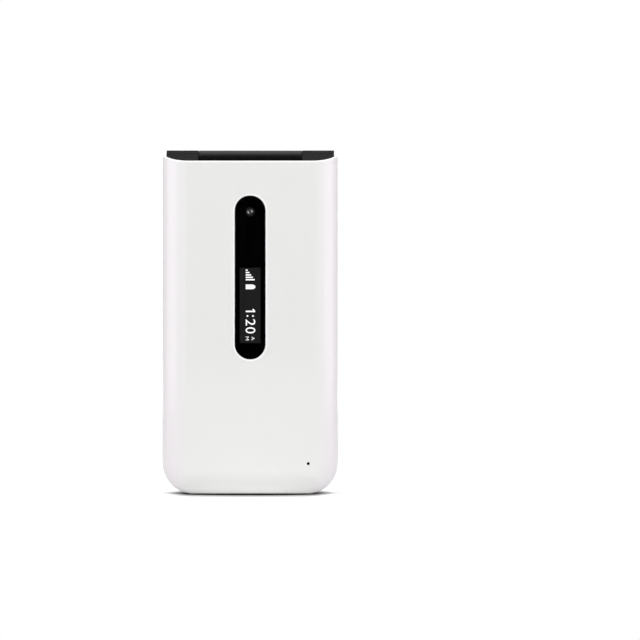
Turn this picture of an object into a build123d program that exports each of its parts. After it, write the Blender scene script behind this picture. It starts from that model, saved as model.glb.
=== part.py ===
from build123d import *
import os

# Clamshell phone, closed and standing on its bottom edge. Millimetres.
# +X is to the right as seen from the front, +Y runs from the lid to the back cover, +Z is up.
# The origin is the middle of the footprint. The lid faces -Y and turns about the hinge at the top.

# ---- Overall form -------------------------------------------------------------------------
width = 58.5
height = 114.5
thickness = 17.0
lid_thickness = 6.9
lid_gap = 0.6                # between the closed lid and the keypad deck
edge_reach = 9.0             # how far in from the sides the outer faces begin to roll over
corner_extra = 1.2           # by how much the bottom corner radius exceeds that reach
lid_edge_depth = 4.0         # depth of the roll-over on the lid
base_edge_depth = 3.9        # depth of the roll-over on the back cover
wall = 1.2                   # wall of the two outer covers
fit = 0.1                    # clearance between pieces that sit in one another
press_play = 0.01            # radial, between a pressed piece and its seat
skin = 0.02                  # rolled forms are made this much proud, then cut flat
tiny = 0.01                  # tolerance for picking edges and for full-round ends
face_recess = 0.05           # how far inlaid panels lie below the face round them

half_width = width / 2
front_y = -thickness / 2
back_y = thickness / 2
lid_inner_y = front_y + lid_thickness
deck_y = lid_inner_y + lid_gap
corner_radius = edge_reach + corner_extra

# ---- Hinge --------------------------------------------------------------------------------
barrel_radius = 4.2
knuckle_length = 10.55
hinge_play = 0.3             # side and radial gap between the turning knuckles and the other half
knuckle_lip = 0.2            # raised ring on a knuckle's inner end, which closes the gap to the barrel
lip_set_back = 0.1           # that ring below the outside of the barrel
bore_radius = 2.85
running_clearance = 0.05     # radial, for what turns in the barrel bore
hinge_y = (lid_inner_y + deck_y) / 2
hinge_z = height - barrel_radius
knuckle_end = half_width - wall - fit
knuckle_start = knuckle_end - knuckle_length
barrel_half_length = knuckle_start - hinge_play
swing_room = 1.3             # the base is hollowed this far beyond the lid's knuckles
knuckle_swing = barrel_radius + swing_room

# ---- Sloping ends next to the hinge -------------------------------------------------------
lid_top_drop = 4.1           # lid cover's upper edge below the top of the hinge, at the front face
lid_top_slope = 0.71         # rise of that edge per millimetre of depth
lid_side_drop = 1.9          # highest point of the lid cover below the top of the hinge
lid_top_corner = 1.3
base_top_drop = 2.0          # back cover's upper edge below the top of the hinge, at the back face
base_top_slope = 1.0
deck_end_drop = 5.7          # top of the keypad plate below the hinge axis
slope_step = 0.15            # the hinge block lies this far below the cover's sloping edge

lid_top_z = height - lid_top_drop
base_top_z = height - base_top_drop
deck_top_z = hinge_z - deck_end_drop

# ---- Lid ----------------------------------------------------------------------------------
lid_band = 1.8               # height of the lid frame's visible rim
rim_inset = 0.12             # shadow line between cover and frame
brow_wall = 0.7              # wall of the lid cover along its upper edge
brow_height = 1.6            # how far down the thinner wall reaches
lip_wall = 1.0
lip_height = 1.0
bezel_plate = 1.4            # thickness of the frame behind its inner face
hinge_block_height = 11.8    # solid part of the lid frame below the hinge axis

window_width = 10.4
window_length = 54.7
window_drop = 10.9           # top of the window below the hinge axis
window_thickness = 0.8
window_ledge = 0.8
window_chamfer = 0.18

camera_drop = 16.4           # camera below the hinge axis
camera_side = 6.4
camera_depth = 3.8
camera_barrel_radius = 2.4
camera_barrel_length = 1.2
camera_lens_radius = 1.3
camera_lens_depth = 0.6
outer_display_width = 8.6
outer_display_length = 28.0
outer_display_drop = 47.3    # middle of the outer display below the hinge axis
outer_display_depth = 0.9
lid_board_margin = 9.25      # from the side of the phone to the lid's board
lid_board_depth = 0.8
lid_board_bottom = 31.0
board_end_gap = 0.4          # between a board and the solid block by the hinge

screen_margin = 4.25         # from the side of the phone to the display module
screen_height = 66.0
screen_depth = 2.2
screen_border = 2.5          # module beyond its visible area, at each side
screen_view_height = 59.5
screen_camera_gap = 0.9
glass_margin = 2.85          # from the side of the phone to the display glass
glass_bottom = 13.0
glass_top_drop = 9.3         # top of the display glass below the hinge axis
glass_corner = 4.0
glass_depth = 0.75

earpiece_z = 7.6
earpiece_length = 13.0
earpiece_height = 6.0
earpiece_depth = 2.4
earpiece_corner = 1.0
earpiece_slot_length = 11.0
earpiece_slot_height = 1.5
mesh_depth = 0.2
mesh_recess = 0.25
microphone_margin = 9.9      # from the side of the phone
microphone_z = 10.1
microphone_radius = 0.5

# ---- Screws and rubber pads ---------------------------------------------------------------
screw_head_radius = 1.3
screw_head_height = 0.7
screw_slot_radius = 0.55
screw_slot_depth = 0.3
screw_ledge = 0.9            # thickness clamped under a lid screw's head
screw_tip_room = 0.4
screw_shank_radius = 0.7
screw_shank_length = 3.2
thread_play = 0.02           # radial, between a screw and its hole
boss_wall = 0.9
lid_screw_low_margin = 7.25  # from the side of the phone
lid_screw_low_z = 5.2
lid_screw_top_margin = 4.25
lid_screw_top_drop = 7.0     # upper lid screws below the hinge axis
bumper_radius = 2.3
bumper_height = 0.5
plug_depth = 0.5
base_screw_low_margin = 7.75
base_screw_low_z = 5.2
base_screw_top_margin = 5.25
base_screw_top_drop = 7.8

# ---- Base, from the keypad to the back ----------------------------------------------------
plate_depth = 1.2            # keypad plate
plate_edge = 0.4
band_depth = 4.4             # visible side band of the chassis
band_wall = 1.4
seam = 0.05                  # hairline between keypad plate, chassis and back cover
board_depth = 0.8
board_bottom = 6.5
board_margin = 4.75          # from the side of the phone to the main board
board_front_gap = 1.6        # from the keypad plate to the main board
floor_depth = 0.5
shelf_depth = 0.8
top_block_height = 12.8      # solid part of the chassis below the hinge axis

# ---- Keypad -------------------------------------------------------------------------------
key_rows = 7
key_columns = 3
key_margin = 3.0             # from the side of the phone to the keys
keypad_bottom = 8.0
keypad_top_drop = 12.8       # top of the keys below the top of the keypad plate
key_gap = 0.9
key_clearance = 0.15
key_corner = 1.8
key_proud = 0.35             # crown of a key above the deck
key_crown_radius = 75.0
key_edge = 0.2
flange_reach = 0.33
flange_gap = 0.05
flange_depth = 0.5
stem_radius = 1.5
stem_length = 0.2
nav_width = 27.0
nav_corner = 8.0
nav_flange_gap = 0.42
nav_flange_depth = 0.18
nav_back_pocket = 0.9
pocket_overlap = 0.1         # the ring's back pocket begins this far inside the plate
ok_width = 11.6
ok_height = 9.6
ok_corner = 3.2
ok_clearance = 0.2
ok_flange_reach = 0.6
ok_flange_gap = 0.15
pivot_pad_x = 9.5
pivot_pad_width = 3.0
pivot_pad_height = 4.0
pivot_pad_depth = 0.15
pivot_pad_gap = 0.05
sheet_depth = 0.25
sheet_inset = 0.2            # key sheet inside the board's sides
sheet_margin = 0.3
dome_radius = 2.2
dome_inset = 2.6             # outer domes from the edge of the ring
dome_height = 0.25
dome_film = 0.05

# ---- Back of the base ---------------------------------------------------------------------
island_width = 29.3
island_height = 11.7
island_drop = 20.7           # middle of the island below the hinge axis
island_depth = 1.1
island_recess = 0.15
speaker_margin = 5.95        # from the end of the island to the loudspeaker's centre
speaker_opening_radius = 3.5
speaker_ring = 0.5
speaker_ring_depth = 0.15
speaker_mesh_recess = 0.35
cone_radius = 2.76
cone_depth = 0.4
speaker_radius = 4.6
speaker_depth = 1.9
sos_margin = 8.15            # from the other end of the island to the key's centre
sos_width = 13.2
sos_height = 8.4
sos_travel = 0.3
sos_flange_depth = 0.5
sos_flange_reach = 0.5
switch_side = 4.0
switch_depth = 0.6
switch_gap = 0.05
pedestal_wall = 0.9

bay_margin = 6.75            # from the side of the phone to the battery
battery_bottom = 12.5
battery_depth = 3.5
battery_corner = 1.0
battery_play = 0.3
bay_wall = 0.8
bay_wall_depth = 2.6
service_shift = 0.5          # card socket and motor above the middle of their space
service_height = 10.0        # between the battery and the island shelf, for contacts and card
shelf_margin = 1.4           # shelf beyond the island
contact_width = 10.0
contact_height = 2.6
contact_x = -9.0
contact_depth = 3.2
contact_count = 3
contact_pitch = 2.6
contact_slot = 1.2
card_width = 12.3
card_height = 8.8
card_x = 4.5
card_depth = 1.3
motor_radius = 4.0
motor_depth = 2.7
motor_margin = 12.25         # from the side of the phone to the motor's centre
shield_jack_gap = 1.85       # from the headset socket to the shields
shield_margin = 9.25         # from the side of the phone to the shields
shield_height = 11.0
shield_depth = 1.3
shield_gap = 1.0
shield_corner = 0.6
shield_top_gap = 2.4

rocker_length = 21.2
rocker_width = 1.9
rocker_drop = 32.8           # middle of the volume rocker below the hinge axis
rocker_recess = 0.06
rocker_edge = 0.35
rocker_dip_radius = 3.0
rocker_dip_depth = 0.15
rocker_switch_inset = 3.0    # switches from the ends of the rocker
rocker_clearance = 0.15
rocker_flange = 0.5
rocker_play = 0.4            # room in front of and behind the rocker's flange
side_switch_length = 3.0
side_switch_depth = 1.5
jack_drop = 15.8             # headset socket below the hinge axis
jack_bore_radius = 1.8
jack_bore_length = 14.0
jack_body_side = 4.2
jack_collar = 0.2
usb_width = 9.0
usb_height = 3.3
usb_length = 7.4
usb_wall = 0.33
usb_tongue = 0.7
usb_tongue_width = 6.7
usb_recess = 0.15
usb_tongue_recess = 0.9
usb_back_wall = 0.8

cartridge_wall = 0.55
cartridge_shaft_radius = 1.1
cam_depth = 1.3
cam_setback = 0.4
spring_wire = 0.28
spring_pitch = 0.95
bush_wall = 0.9
bush_reach = 4.6             # how far cartridge head and bush reach into the barrel
bush_seat = 1.6              # how far the bush reaches into the knuckle
flex_roll_radius = 1.5
flex_depth = 0.2
flex_clearance = 0.2         # round the flexible circuits
flex_joint_gap = 0.2
flex_roll_gap = 3.4          # lid tail in front of the hinge axis
flex_turn_gap = 0.3
flex_board_gap = 0.25
flex_board_lap = 1.6
flex_roll_length = 15.1
flex_chamber = 0.6           # radial room round the roll
flex_width = 3.8
end_cap_radius = 3.5
end_cap_depth = 0.9


# ---- Derived levels -----------------------------------------------------------------------
def side_pair(margin, z):
    """The two (x, z) places that lie at the given margin from the phone's sides."""
    return [(side * (half_width - margin), z) for side in (-1, 1)]


lid_split_y = lid_inner_y - lid_band
bezel_back_y = lid_inner_y - bezel_plate
lid_cavity_y = front_y + wall
window_z1 = hinge_z - window_drop
window_z0 = window_z1 - window_length
camera_z = hinge_z - camera_drop
outer_display_z = hinge_z - outer_display_drop
hinge_block_z = hinge_z - hinge_block_height
glass_half_width = half_width - glass_margin
screen_half_width = half_width - screen_margin
glass_top = hinge_z - glass_top_drop
screen_top = camera_z - camera_side / 2 - screen_camera_gap
screen_z = screen_top - screen_height / 2
lid_screws_at = side_pair(lid_screw_low_margin, lid_screw_low_z)
lid_screws_at += side_pair(lid_screw_top_margin, hinge_z - lid_screw_top_drop)

plate_back_y = deck_y + plate_depth
band_front_y = plate_back_y + seam
band_back_y = band_front_y + band_depth
cover_split_y = band_back_y + seam
board_y = plate_back_y + board_front_gap
board_half_width = half_width - board_margin
sheet_half_width = board_half_width - sheet_inset
board_back_y = board_y + board_depth
floor_y = board_back_y + fit
bay_floor_y = floor_y + floor_depth
cover_inner_y = back_y - wall
top_block_z = hinge_z - top_block_height
board_top = top_block_z - board_end_gap
island_z = hinge_z - island_drop
speaker_x = island_width / 2 - speaker_margin
sos_x = sos_margin - island_width / 2
island_face_y = back_y - island_recess
island_back_y = island_face_y - island_depth
shelf_bottom = island_z - island_height / 2 - shelf_margin
shelf_y = island_back_y - speaker_depth - shelf_depth - fit
shelf_back_y = shelf_y + shelf_depth
battery_top = shelf_bottom - service_height
battery_half_width = half_width - bay_margin
motor_x = half_width - motor_margin
shield_x0 = -half_width + band_wall + jack_bore_length + shield_jack_gap
shield_x1 = half_width - shield_margin
battery_back_y = bay_floor_y + fit + battery_depth
service_z = (battery_top + shelf_bottom) / 2
rocker_z = hinge_z - rocker_drop
jack_z = hinge_z - jack_drop
port_y = (band_front_y + band_back_y) / 2
base_screws_at = side_pair(base_screw_low_margin, base_screw_low_z)
base_screws_at += side_pair(base_screw_top_margin, hinge_z - base_screw_top_drop)
base_screw_head_y = band_back_y

key_top_y = deck_y - key_proud
flange_y = plate_back_y + flange_gap
flange_back_y = flange_y + flange_depth
nav_flange_y = plate_back_y + nav_flange_gap
nav_back_y = nav_flange_y + nav_flange_depth
pivot_y = nav_back_y + pivot_pad_gap
dome_y = board_y - dome_film - dome_height
sheet_y = dome_y - sheet_depth

keypad_half_width = half_width - key_margin
keypad_top = deck_top_z - keypad_top_drop
row_pitch = (keypad_top - keypad_bottom + key_gap) / key_rows
column_pitch = (2 * keypad_half_width + key_gap) / key_columns
key_height = row_pitch - key_gap
key_width = column_pitch - key_gap
side_key_width = (2 * keypad_half_width - nav_width) / 2 - key_gap
nav_height = 2 * row_pitch - key_gap
nav_z = keypad_bottom + 5 * row_pitch + nav_height / 2


# ---- Simple solids ------------------------------------------------------------------------
def block(x0, x1, y0, y1, z0, z1):
    """Box between two corners."""
    return Pos((x0 + x1) / 2, (y0 + y1) / 2, (z0 + z1) / 2) * Box(x1 - x0, y1 - y0, z1 - z0)


def along_y(sketch, y0, y1):
    """Sketch drawn in (x, z) and extruded from y0 to y1."""
    return Pos(0, y1, 0) * (Rot(90, 0, 0) * extrude(sketch, y1 - y0))


def slab(x0, x1, z0, z1, radius, y0, y1):
    """Plate with rounded corners, lying in the XZ plane."""
    outline = Pos((x0 + x1) / 2, (z0 + z1) / 2) * RectangleRounded(x1 - x0, z1 - z0, radius)
    return along_y(outline, y0, y1)


def pill(length, breadth, x, z, y0, y1):
    """Plate with fully round ends, longer along X or along Z."""
    return slab(x - length / 2, x + length / 2, z - breadth / 2, z + breadth / 2,
                min(length, breadth) / 2 - tiny / 10, y0, y1)


def rod_x(radius, x0, x1, y=hinge_y, z=hinge_z):
    """Cylinder along X, by default on the hinge axis."""
    return Pos((x0 + x1) / 2, y, z) * (Rot(0, 90, 0) * Cylinder(radius, x1 - x0))


def rod_y(radius, y0, y1, x, z):
    """Cylinder along Y."""
    return Pos(x, (y0 + y1) / 2, z) * (Rot(90, 0, 0) * Cylinder(radius, y1 - y0))


def prism_x(points, x0, x1):
    """Polygon of (y, z) points extruded from x0 to x1."""
    return Pos(x0, 0, 0) * extrude(Plane.YZ * Polygon(*points, align=None), x1 - x0)


def both_sides(make):
    """Union of what make(-1) and make(1) give, for pieces that come in mirrored pairs."""
    return make(-1) + make(1)


def mirrored_span(side, near, far):
    """x limits of a span that lies between near and far on the given side."""
    return (near, far) if side > 0 else (-far, -near)


# ---- Outer form shared by the shells ------------------------------------------------------
def rolled_body(inset, face_y, inner_y, edge_depth):
    """Body with a flat outer face whose sides and bottom roll over as a quarter ellipse.

    It runs on past the hinge, where the callers cut it. An inset gives the parallel inner form."""
    reach = edge_reach - inset
    squash = (edge_depth - inset) / reach
    tall = height + 2 * corner_radius
    depth = abs(inner_y - face_y)
    outline = Pos(0, inset + tall / 2) * RectangleRounded(width - 2 * inset, tall, corner_radius - inset)
    body = extrude(outline, (depth + skin) / squash)
    body = fillet(body.faces().sort_by(Axis.Z)[-1].edges(), reach)
    body = Rot(90, 0, 0) * scale(body, by=(1, 1, squash))
    if face_y > inner_y:
        body = Rot(0, 0, 180) * body
    body = Pos(0, inner_y, 0) * body
    low, high = sorted((face_y, inner_y))
    return body & block(-half_width, half_width, low, high, inset, height + corner_radius)


def outline_slab(inset, y0, y1, top, top_radius):
    """Plate in the phone's front outline, shrunk by inset, with its own top corners."""
    big = slab(-half_width + inset, half_width - inset, inset, 2 * height, corner_radius - inset, y0, y1)
    return big & slab(-half_width + inset, half_width - inset, -height, top, top_radius, y0, y1)


def above_lid_slope(step=0.0):
    """Everything above the sloping upper edge of the lid."""
    low = (front_y, lid_top_z - step)
    high = (back_y, lid_top_z - step + lid_top_slope * thickness)
    return prism_x([low, high, (back_y, 2 * height), (front_y - 1, 2 * height), (front_y - 1, low[1])],
                   -half_width - 1, half_width + 1)


def above_base_slope(step=0.0):
    """Everything above the sloping upper edge of the base."""
    high = (back_y, base_top_z - step)
    low = (front_y, base_top_z - step - base_top_slope * thickness)
    return prism_x([low, high, (back_y + 1, high[1]), (back_y + 1, 2 * height), (front_y, 2 * height)],
                   -half_width - 1, half_width + 1)


def screw(x, z, head_y, direction):
    """Pan head screw whose shank runs along Y in the given direction."""
    under_y = head_y + direction * screw_head_height
    tip_y = under_y + direction * screw_shank_length
    slot_y = head_y + direction * screw_slot_depth
    head = rod_y(screw_head_radius, min(head_y, under_y), max(head_y, under_y), x, z)
    head -= rod_y(screw_slot_radius, min(head_y, slot_y), max(head_y, slot_y), x, z)
    return head + rod_y(screw_shank_radius, min(under_y, tip_y), max(under_y, tip_y), x, z)


# ---- Lid ----------------------------------------------------------------------------------
lid_head_y = lid_inner_y - plug_depth           # face of the sunk screw heads, towards the keypad
lid_seat_y = lid_head_y - screw_head_height
lid_boss_y = lid_seat_y - screw_ledge


def rim_edges(body, y, length, breadth, z):
    """Edges that lie in the plane at y, round an opening of the given size centred at (0, z)."""
    found = []
    for edge in body.edges():
        box = edge.bounding_box()
        flat = abs(box.min.Y - y) < tiny and abs(box.max.Y - y) < tiny
        within = max(box.max.X, -box.min.X) < length / 2 + tiny
        within = within and max(box.max.Z - z, z - box.min.Z) < breadth / 2 + tiny
        if flat and within:
            found.append(edge)
    return found


def brow_space(clearance):
    """Space behind the cover's thin upper edge, where the lid frame comes forward."""
    inset = brow_wall + clearance
    form = rolled_body(inset, front_y + inset, lid_inner_y, lid_edge_depth)
    side = half_width - wall - clearance
    return form & block(-side, side, front_y, lid_inner_y, lid_top_z - brow_height + clearance, 2 * height)


def make_lid_cover():
    """Glossy outer shell with the window opening and the microphone hole."""
    body = rolled_body(0, front_y, lid_inner_y, lid_edge_depth)
    body &= outline_slab(0, front_y, lid_split_y, height - lid_side_drop, lid_top_corner)
    body -= rolled_body(wall, lid_cavity_y, lid_inner_y, lid_edge_depth)
    body -= brow_space(0)
    body -= above_lid_slope()
    window_z = (window_z0 + window_z1) / 2
    body -= pill(window_width, window_length, 0, window_z, front_y, front_y + face_recess + window_thickness)
    body = chamfer(rim_edges(body, front_y, window_width, window_length, window_z), window_chamfer)
    body -= pill(window_width - 2 * window_ledge, window_length - 2 * window_ledge, 0, window_z,
                 front_y, lid_cavity_y)
    body -= rod_y(microphone_radius, front_y, lid_cavity_y, half_width - microphone_margin,
                  microphone_z)
    root_form = rolled_body(wall / 2, front_y + wall / 2, lid_inner_y, lid_edge_depth)
    for x, z in lid_screws_at:
        body += rod_y(screw_shank_radius + boss_wall, front_y, lid_boss_y, x, z) & root_form
    for x, z in lid_screws_at:
        body -= rod_y(screw_shank_radius + thread_play, lid_cavity_y + fit, lid_boss_y, x, z)
    return body


def make_lid_window():
    """Long black lens that covers the camera and the outer display."""
    y0 = front_y + face_recess
    window_z = (window_z0 + window_z1) / 2
    return pill(window_width - 2 * fit, window_length - 2 * fit, 0, window_z, y0, y0 + window_thickness)


def make_camera_module():
    """Camera: square housing with its lens barrel behind the window."""
    y0 = front_y + face_recess + window_thickness + fit
    mid = y0 + camera_barrel_length
    body = block(-camera_side / 2, camera_side / 2, mid, y0 + camera_depth,
                 camera_z - camera_side / 2, camera_z + camera_side / 2)
    body += rod_y(camera_barrel_radius, y0, mid, 0, camera_z)
    return body - rod_y(camera_lens_radius, y0, y0 + camera_lens_depth, 0, camera_z)


def make_outer_display():
    """Small display panel behind the window."""
    y0 = front_y + wall + fit
    return block(-outer_display_width / 2, outer_display_width / 2, y0, y0 + outer_display_depth,
                 outer_display_z - outer_display_length / 2, outer_display_z + outer_display_length / 2)


lid_board_y = front_y + wall + 2 * fit + outer_display_depth


def make_lid_board():
    """Circuit board of the lid, notched for the camera."""
    top = hinge_block_z - board_end_gap
    half = half_width - lid_board_margin
    body = block(-half, half, lid_board_y, lid_board_y + lid_board_depth, lid_board_bottom, top)
    notch = camera_side / 2 + 2 * fit
    return body - block(-notch, notch, lid_board_y, lid_board_y + lid_board_depth,
                        camera_z - notch, top)


screen_back_y = bezel_back_y - fit


def make_main_display():
    """Main display module, behind the frame."""
    return block(-screen_half_width, screen_half_width, screen_back_y - screen_depth, screen_back_y,
                 screen_z - screen_height / 2, screen_top)


def make_display_glass():
    """Cover glass over the main display."""
    y1 = lid_inner_y - face_recess
    return slab(-glass_half_width + fit, glass_half_width - fit, glass_bottom + fit, glass_top - fit,
                glass_corner - fit, y1 - glass_depth, y1)


def make_lid_frame():
    """Inner frame of the lid with its rim, screen bezel, hinge block and two knuckles."""
    low_y = lid_split_y + seam
    top = height - lid_side_drop
    body = outline_slab(rim_inset, bezel_back_y, lid_inner_y, top, lid_top_corner)
    rim = outline_slab(rim_inset, low_y, lid_inner_y, top, lid_top_corner)
    body += rim - outline_slab(rim_inset + wall, low_y, lid_inner_y, 2 * height, lid_top_corner)
    lip_out = wall + fit
    body += (outline_slab(lip_out, low_y - lip_height, bezel_back_y, hinge_z, lid_top_corner)
             - outline_slab(lip_out + lip_wall, low_y - lip_height, bezel_back_y, 2 * height, lid_top_corner))
    block_form = rolled_body(wall + fit, lid_cavity_y + fit, lid_inner_y, lid_edge_depth)
    block_form += brow_space(fit)
    body += block_form & block(-half_width, half_width, front_y, lid_inner_y, hinge_block_z, top)
    body -= above_lid_slope(slope_step)
    knuckle_form = block_form + block(-half_width, half_width, lid_inner_y, back_y, 0, 2 * height)

    def knuckle(side):
        x0, x1 = mirrored_span(side, knuckle_start, knuckle_end)
        return (rod_x(barrel_radius, x0, x1) + knuckle_front(x0, x1)) & knuckle_form

    body += both_sides(knuckle)
    body -= rod_x(barrel_radius + hinge_play, -knuckle_start, knuckle_start)
    body -= block(-knuckle_start, knuckle_start, front_y, back_y, lid_top_z + slope_step, 2 * height)

    def lip(side):
        x0, x1 = mirrored_span(side, knuckle_start - knuckle_lip, knuckle_start)
        return rod_x(barrel_radius - lip_set_back, x0, x1)

    body += both_sides(lip)
    body -= slab(-glass_half_width, glass_half_width, glass_bottom, glass_top, glass_corner,
                 lid_inner_y - face_recess - glass_depth, lid_inner_y)
    view = screen_half_width - screen_border
    body -= block(-view, view, bezel_back_y, lid_inner_y,
                  screen_z - screen_view_height / 2, screen_z + screen_view_height / 2)
    body -= pill(earpiece_slot_length, earpiece_slot_height, 0, earpiece_z, bezel_back_y, lid_inner_y)
    for x, z in lid_screws_at:
        body -= rod_y(screw_head_radius + fit, lid_seat_y, lid_inner_y, x, z)
        body -= rod_y(screw_shank_radius + fit, lid_boss_y - fit, lid_inner_y, x, z)
        body -= rod_y(screw_shank_radius + boss_wall + fit, front_y, lid_boss_y + fit, x, z)

    def bores(side):
        x0, x1 = mirrored_span(side, knuckle_start - knuckle_lip, knuckle_end - end_cap_depth - fit)
        cap0, cap1 = mirrored_span(side, knuckle_end - end_cap_depth - fit, knuckle_end)
        return rod_x(bore_radius, x0, x1) + rod_x(end_cap_radius + fit / 2, cap0, cap1)

    body -= both_sides(bores)
    return body - lid_flex_path(flex_clearance)


def knuckle_front(x0, x1):
    """Wedge that carries a knuckle forward to the cover's sloping edge."""
    front = front_y + brow_wall + fit
    front_z = lid_top_z - slope_step + lid_top_slope * (front - front_y)
    peak_y = front_y + (height - lid_top_z + slope_step) / lid_top_slope
    points = [(hinge_y, height), (peak_y, height), (front, front_z), (front, hinge_z - barrel_radius),
              (hinge_y - hinge_play, hinge_z - barrel_radius), (hinge_y, hinge_z)]
    return prism_x(points, x0, x1)


def make_hinge_end_caps():
    """Discs that close the outer ends of the two knuckles."""
    def cap(side):
        x0, x1 = mirrored_span(side, knuckle_end - end_cap_depth, knuckle_end)
        return rod_x(end_cap_radius, x0, x1)
    return both_sides(cap)


def make_earpiece():
    """Receiver behind the slot at the free end of the lid."""
    return slab(-earpiece_length / 2, earpiece_length / 2, earpiece_z - earpiece_height / 2,
                earpiece_z + earpiece_height / 2, earpiece_corner,
                bezel_back_y - fit - earpiece_depth, bezel_back_y - fit)


def make_earpiece_mesh():
    """Fine mesh set in the earpiece slot."""
    return pill(earpiece_slot_length - fit, earpiece_slot_height - fit, 0, earpiece_z,
                lid_inner_y - mesh_recess - mesh_depth, lid_inner_y - mesh_recess)


def make_lid_bumpers():
    """Two rubber pads at the free end and two plugs near the hinge; each covers a screw."""
    body = None
    for x, z in lid_screws_at:
        piece = rod_y(screw_head_radius, lid_head_y + fit, lid_inner_y, x, z)
        if z == lid_screw_low_z:
            pad = rod_y(bumper_radius, lid_inner_y, lid_inner_y + bumper_height, x, z)
            piece += fillet(pad.edges().sort_by(Axis.Y)[-1:], bumper_height / 2)
        body = piece if body is None else body + piece
    return body


def make_lid_screws():
    """Four screws that hold the lid cover to the lid frame."""
    return Compound([screw(x, z, lid_head_y, -1) for x, z in lid_screws_at])


# ---- Hinge parts --------------------------------------------------------------------------
cartridge_end = knuckle_end - end_cap_depth - 2 * fit
cam_start = knuckle_start + cam_setback


def make_hinge_cartridge():
    """Can of the spring hinge, fixed in the left knuckle and closed at its outer end."""
    body = rod_x(bore_radius - press_play, -cartridge_end, -knuckle_start)
    return body - rod_x(bore_radius - cartridge_wall, -cartridge_end + cartridge_wall, -knuckle_start)


def make_hinge_shaft():
    """Cam and shaft of the spring hinge; its head is fixed in the barrel."""
    head = rod_x(bore_radius - press_play, -knuckle_start + hinge_play, -barrel_half_length + bush_reach)
    shaft = rod_x(cartridge_shaft_radius, -cam_start - cam_depth, -barrel_half_length + 1)
    cam_radius = bore_radius - cartridge_wall - running_clearance
    return head + shaft + rod_x(cam_radius, -cam_start - cam_depth, -cam_start)


def make_hinge_spring():
    """Coil spring between the cam and the closed end of the can."""
    start = cam_start + cam_depth + spring_wire + fit
    length = cartridge_end - cartridge_wall - spring_wire - fit - start
    coil = bore_radius - cartridge_wall - spring_wire - 2 * fit
    path = Helix(spring_pitch, length, coil)
    wire = Plane(origin=path @ 0, z_dir=path % 0) * Circle(spring_wire)
    return Pos(-start, hinge_y, hinge_z) * (Rot(0, -90, 0) * sweep(wire, path, is_frenet=True))


def make_hinge_bush():
    """Hollow bush between the right knuckle and the barrel; the flexible circuit runs through it."""
    x0 = barrel_half_length - bush_reach
    x1 = knuckle_start + bush_seat
    body = rod_x(bore_radius - press_play, x0, x1)
    return body - rod_x(bore_radius - bush_wall, x0, x1)


flex_roll_x1 = knuckle_start + bush_seat
flex_roll_x0 = flex_roll_x1 - flex_roll_length
flex_tail_x0 = flex_roll_x1 + flex_joint_gap
flex_drop_y = hinge_y + flex_roll_radius - flex_depth
flex_turn_z = deck_top_z + flex_turn_gap
flex_behind_y = board_back_y + flex_board_gap


def base_flex_path(grow):
    """Run of the flexible circuit from the barrel to the back of the main board, grown all round."""
    x0, x1 = flex_roll_x0 - grow, flex_roll_x0 + flex_width + grow
    drop = block(x0, x1, flex_drop_y - grow, flex_drop_y + flex_depth + grow,
                 flex_turn_z - grow, hinge_z)
    across = block(x0, x1, flex_drop_y - grow, flex_behind_y + flex_depth + grow,
                   flex_turn_z - grow, flex_turn_z + flex_depth + grow)
    down = block(x0, x1, flex_behind_y - grow, flex_behind_y + flex_depth + grow,
                 board_top - flex_board_lap - grow, flex_turn_z + flex_depth + grow)
    return drop + across + down


def make_base_flex():
    """Flexible circuit of the base: a roll on the hinge axis and a tail down to the main board."""
    tail = base_flex_path(0) - rod_x(flex_roll_radius - flex_depth, flex_roll_x0 - 1, flex_roll_x1)
    roll = rod_x(flex_roll_radius, flex_roll_x0, flex_roll_x1)
    roll -= rod_x(flex_roll_radius - flex_depth, flex_roll_x0, flex_roll_x1)
    return tail + roll


lid_flex_y = hinge_y - flex_roll_gap


def lid_flex_path(grow):
    """Run of the flexible circuit from the right knuckle down into the lid, grown all round."""
    x0, x1 = flex_tail_x0 - grow, flex_tail_x0 + flex_width + grow
    across = block(x0, x1, lid_flex_y - grow, hinge_y - flex_roll_radius + flex_depth + grow,
                   hinge_z - flex_depth - grow, hinge_z + grow)
    down = block(x0, x1, lid_flex_y - grow, lid_flex_y + flex_depth + grow,
                 hinge_block_z - flex_board_lap - grow, hinge_z + grow)
    return across + down


def make_lid_flex():
    """Flexible circuit of the lid: a short roll in the right knuckle and a tail into the lid."""
    x1 = flex_tail_x0 + flex_width
    roll = rod_x(flex_roll_radius, flex_tail_x0, x1)
    roll -= rod_x(flex_roll_radius - flex_depth, flex_tail_x0, x1)
    return roll + lid_flex_path(0)


# ---- Keypad -------------------------------------------------------------------------------
def row_bottom(row):
    return keypad_bottom + row * row_pitch


def column_left(column):
    return -keypad_half_width + column * column_pitch


def key_places():
    """Rectangle (x0, x1, z0, z1) of every plain key, by node name."""
    rows = [["key_star", "key_0", "key_hash"], ["key_7", "key_8", "key_9"],
            ["key_4", "key_5", "key_6"], ["key_1", "key_2", "key_3"],
            ["call_key", "clear_key", "end_key"]]
    places = {}
    for row, names in enumerate(rows):
        for column, name in enumerate(names):
            x0, z0 = column_left(column), row_bottom(row)
            places[name] = (x0, x0 + key_width, z0, z0 + key_height)
    for row, name in ((5, "shortcut_key"), (6, "soft_key")):
        z0 = row_bottom(row)
        left, right = (-keypad_half_width, keypad_half_width - side_key_width)
        places[name + "_left"] = (left, left + side_key_width, z0, z0 + key_height)
        places[name + "_right"] = (right, right + side_key_width, z0, z0 + key_height)
    return places


def crowned(x0, x1, z0, z1, corner, back_y_limit):
    """Key top: a plate with rounded corners, crowned so that it falls off towards its ends."""
    cap = slab(x0, x1, z0, z1, corner, key_top_y, back_y_limit)
    crown = rod_x(key_crown_radius, x0 - 1, x1 + 1, key_top_y + key_crown_radius, (z0 + z1) / 2)
    cap &= crown
    return fillet(cap.faces().sort_by(Axis.Y)[0].edges(), key_edge)


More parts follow.
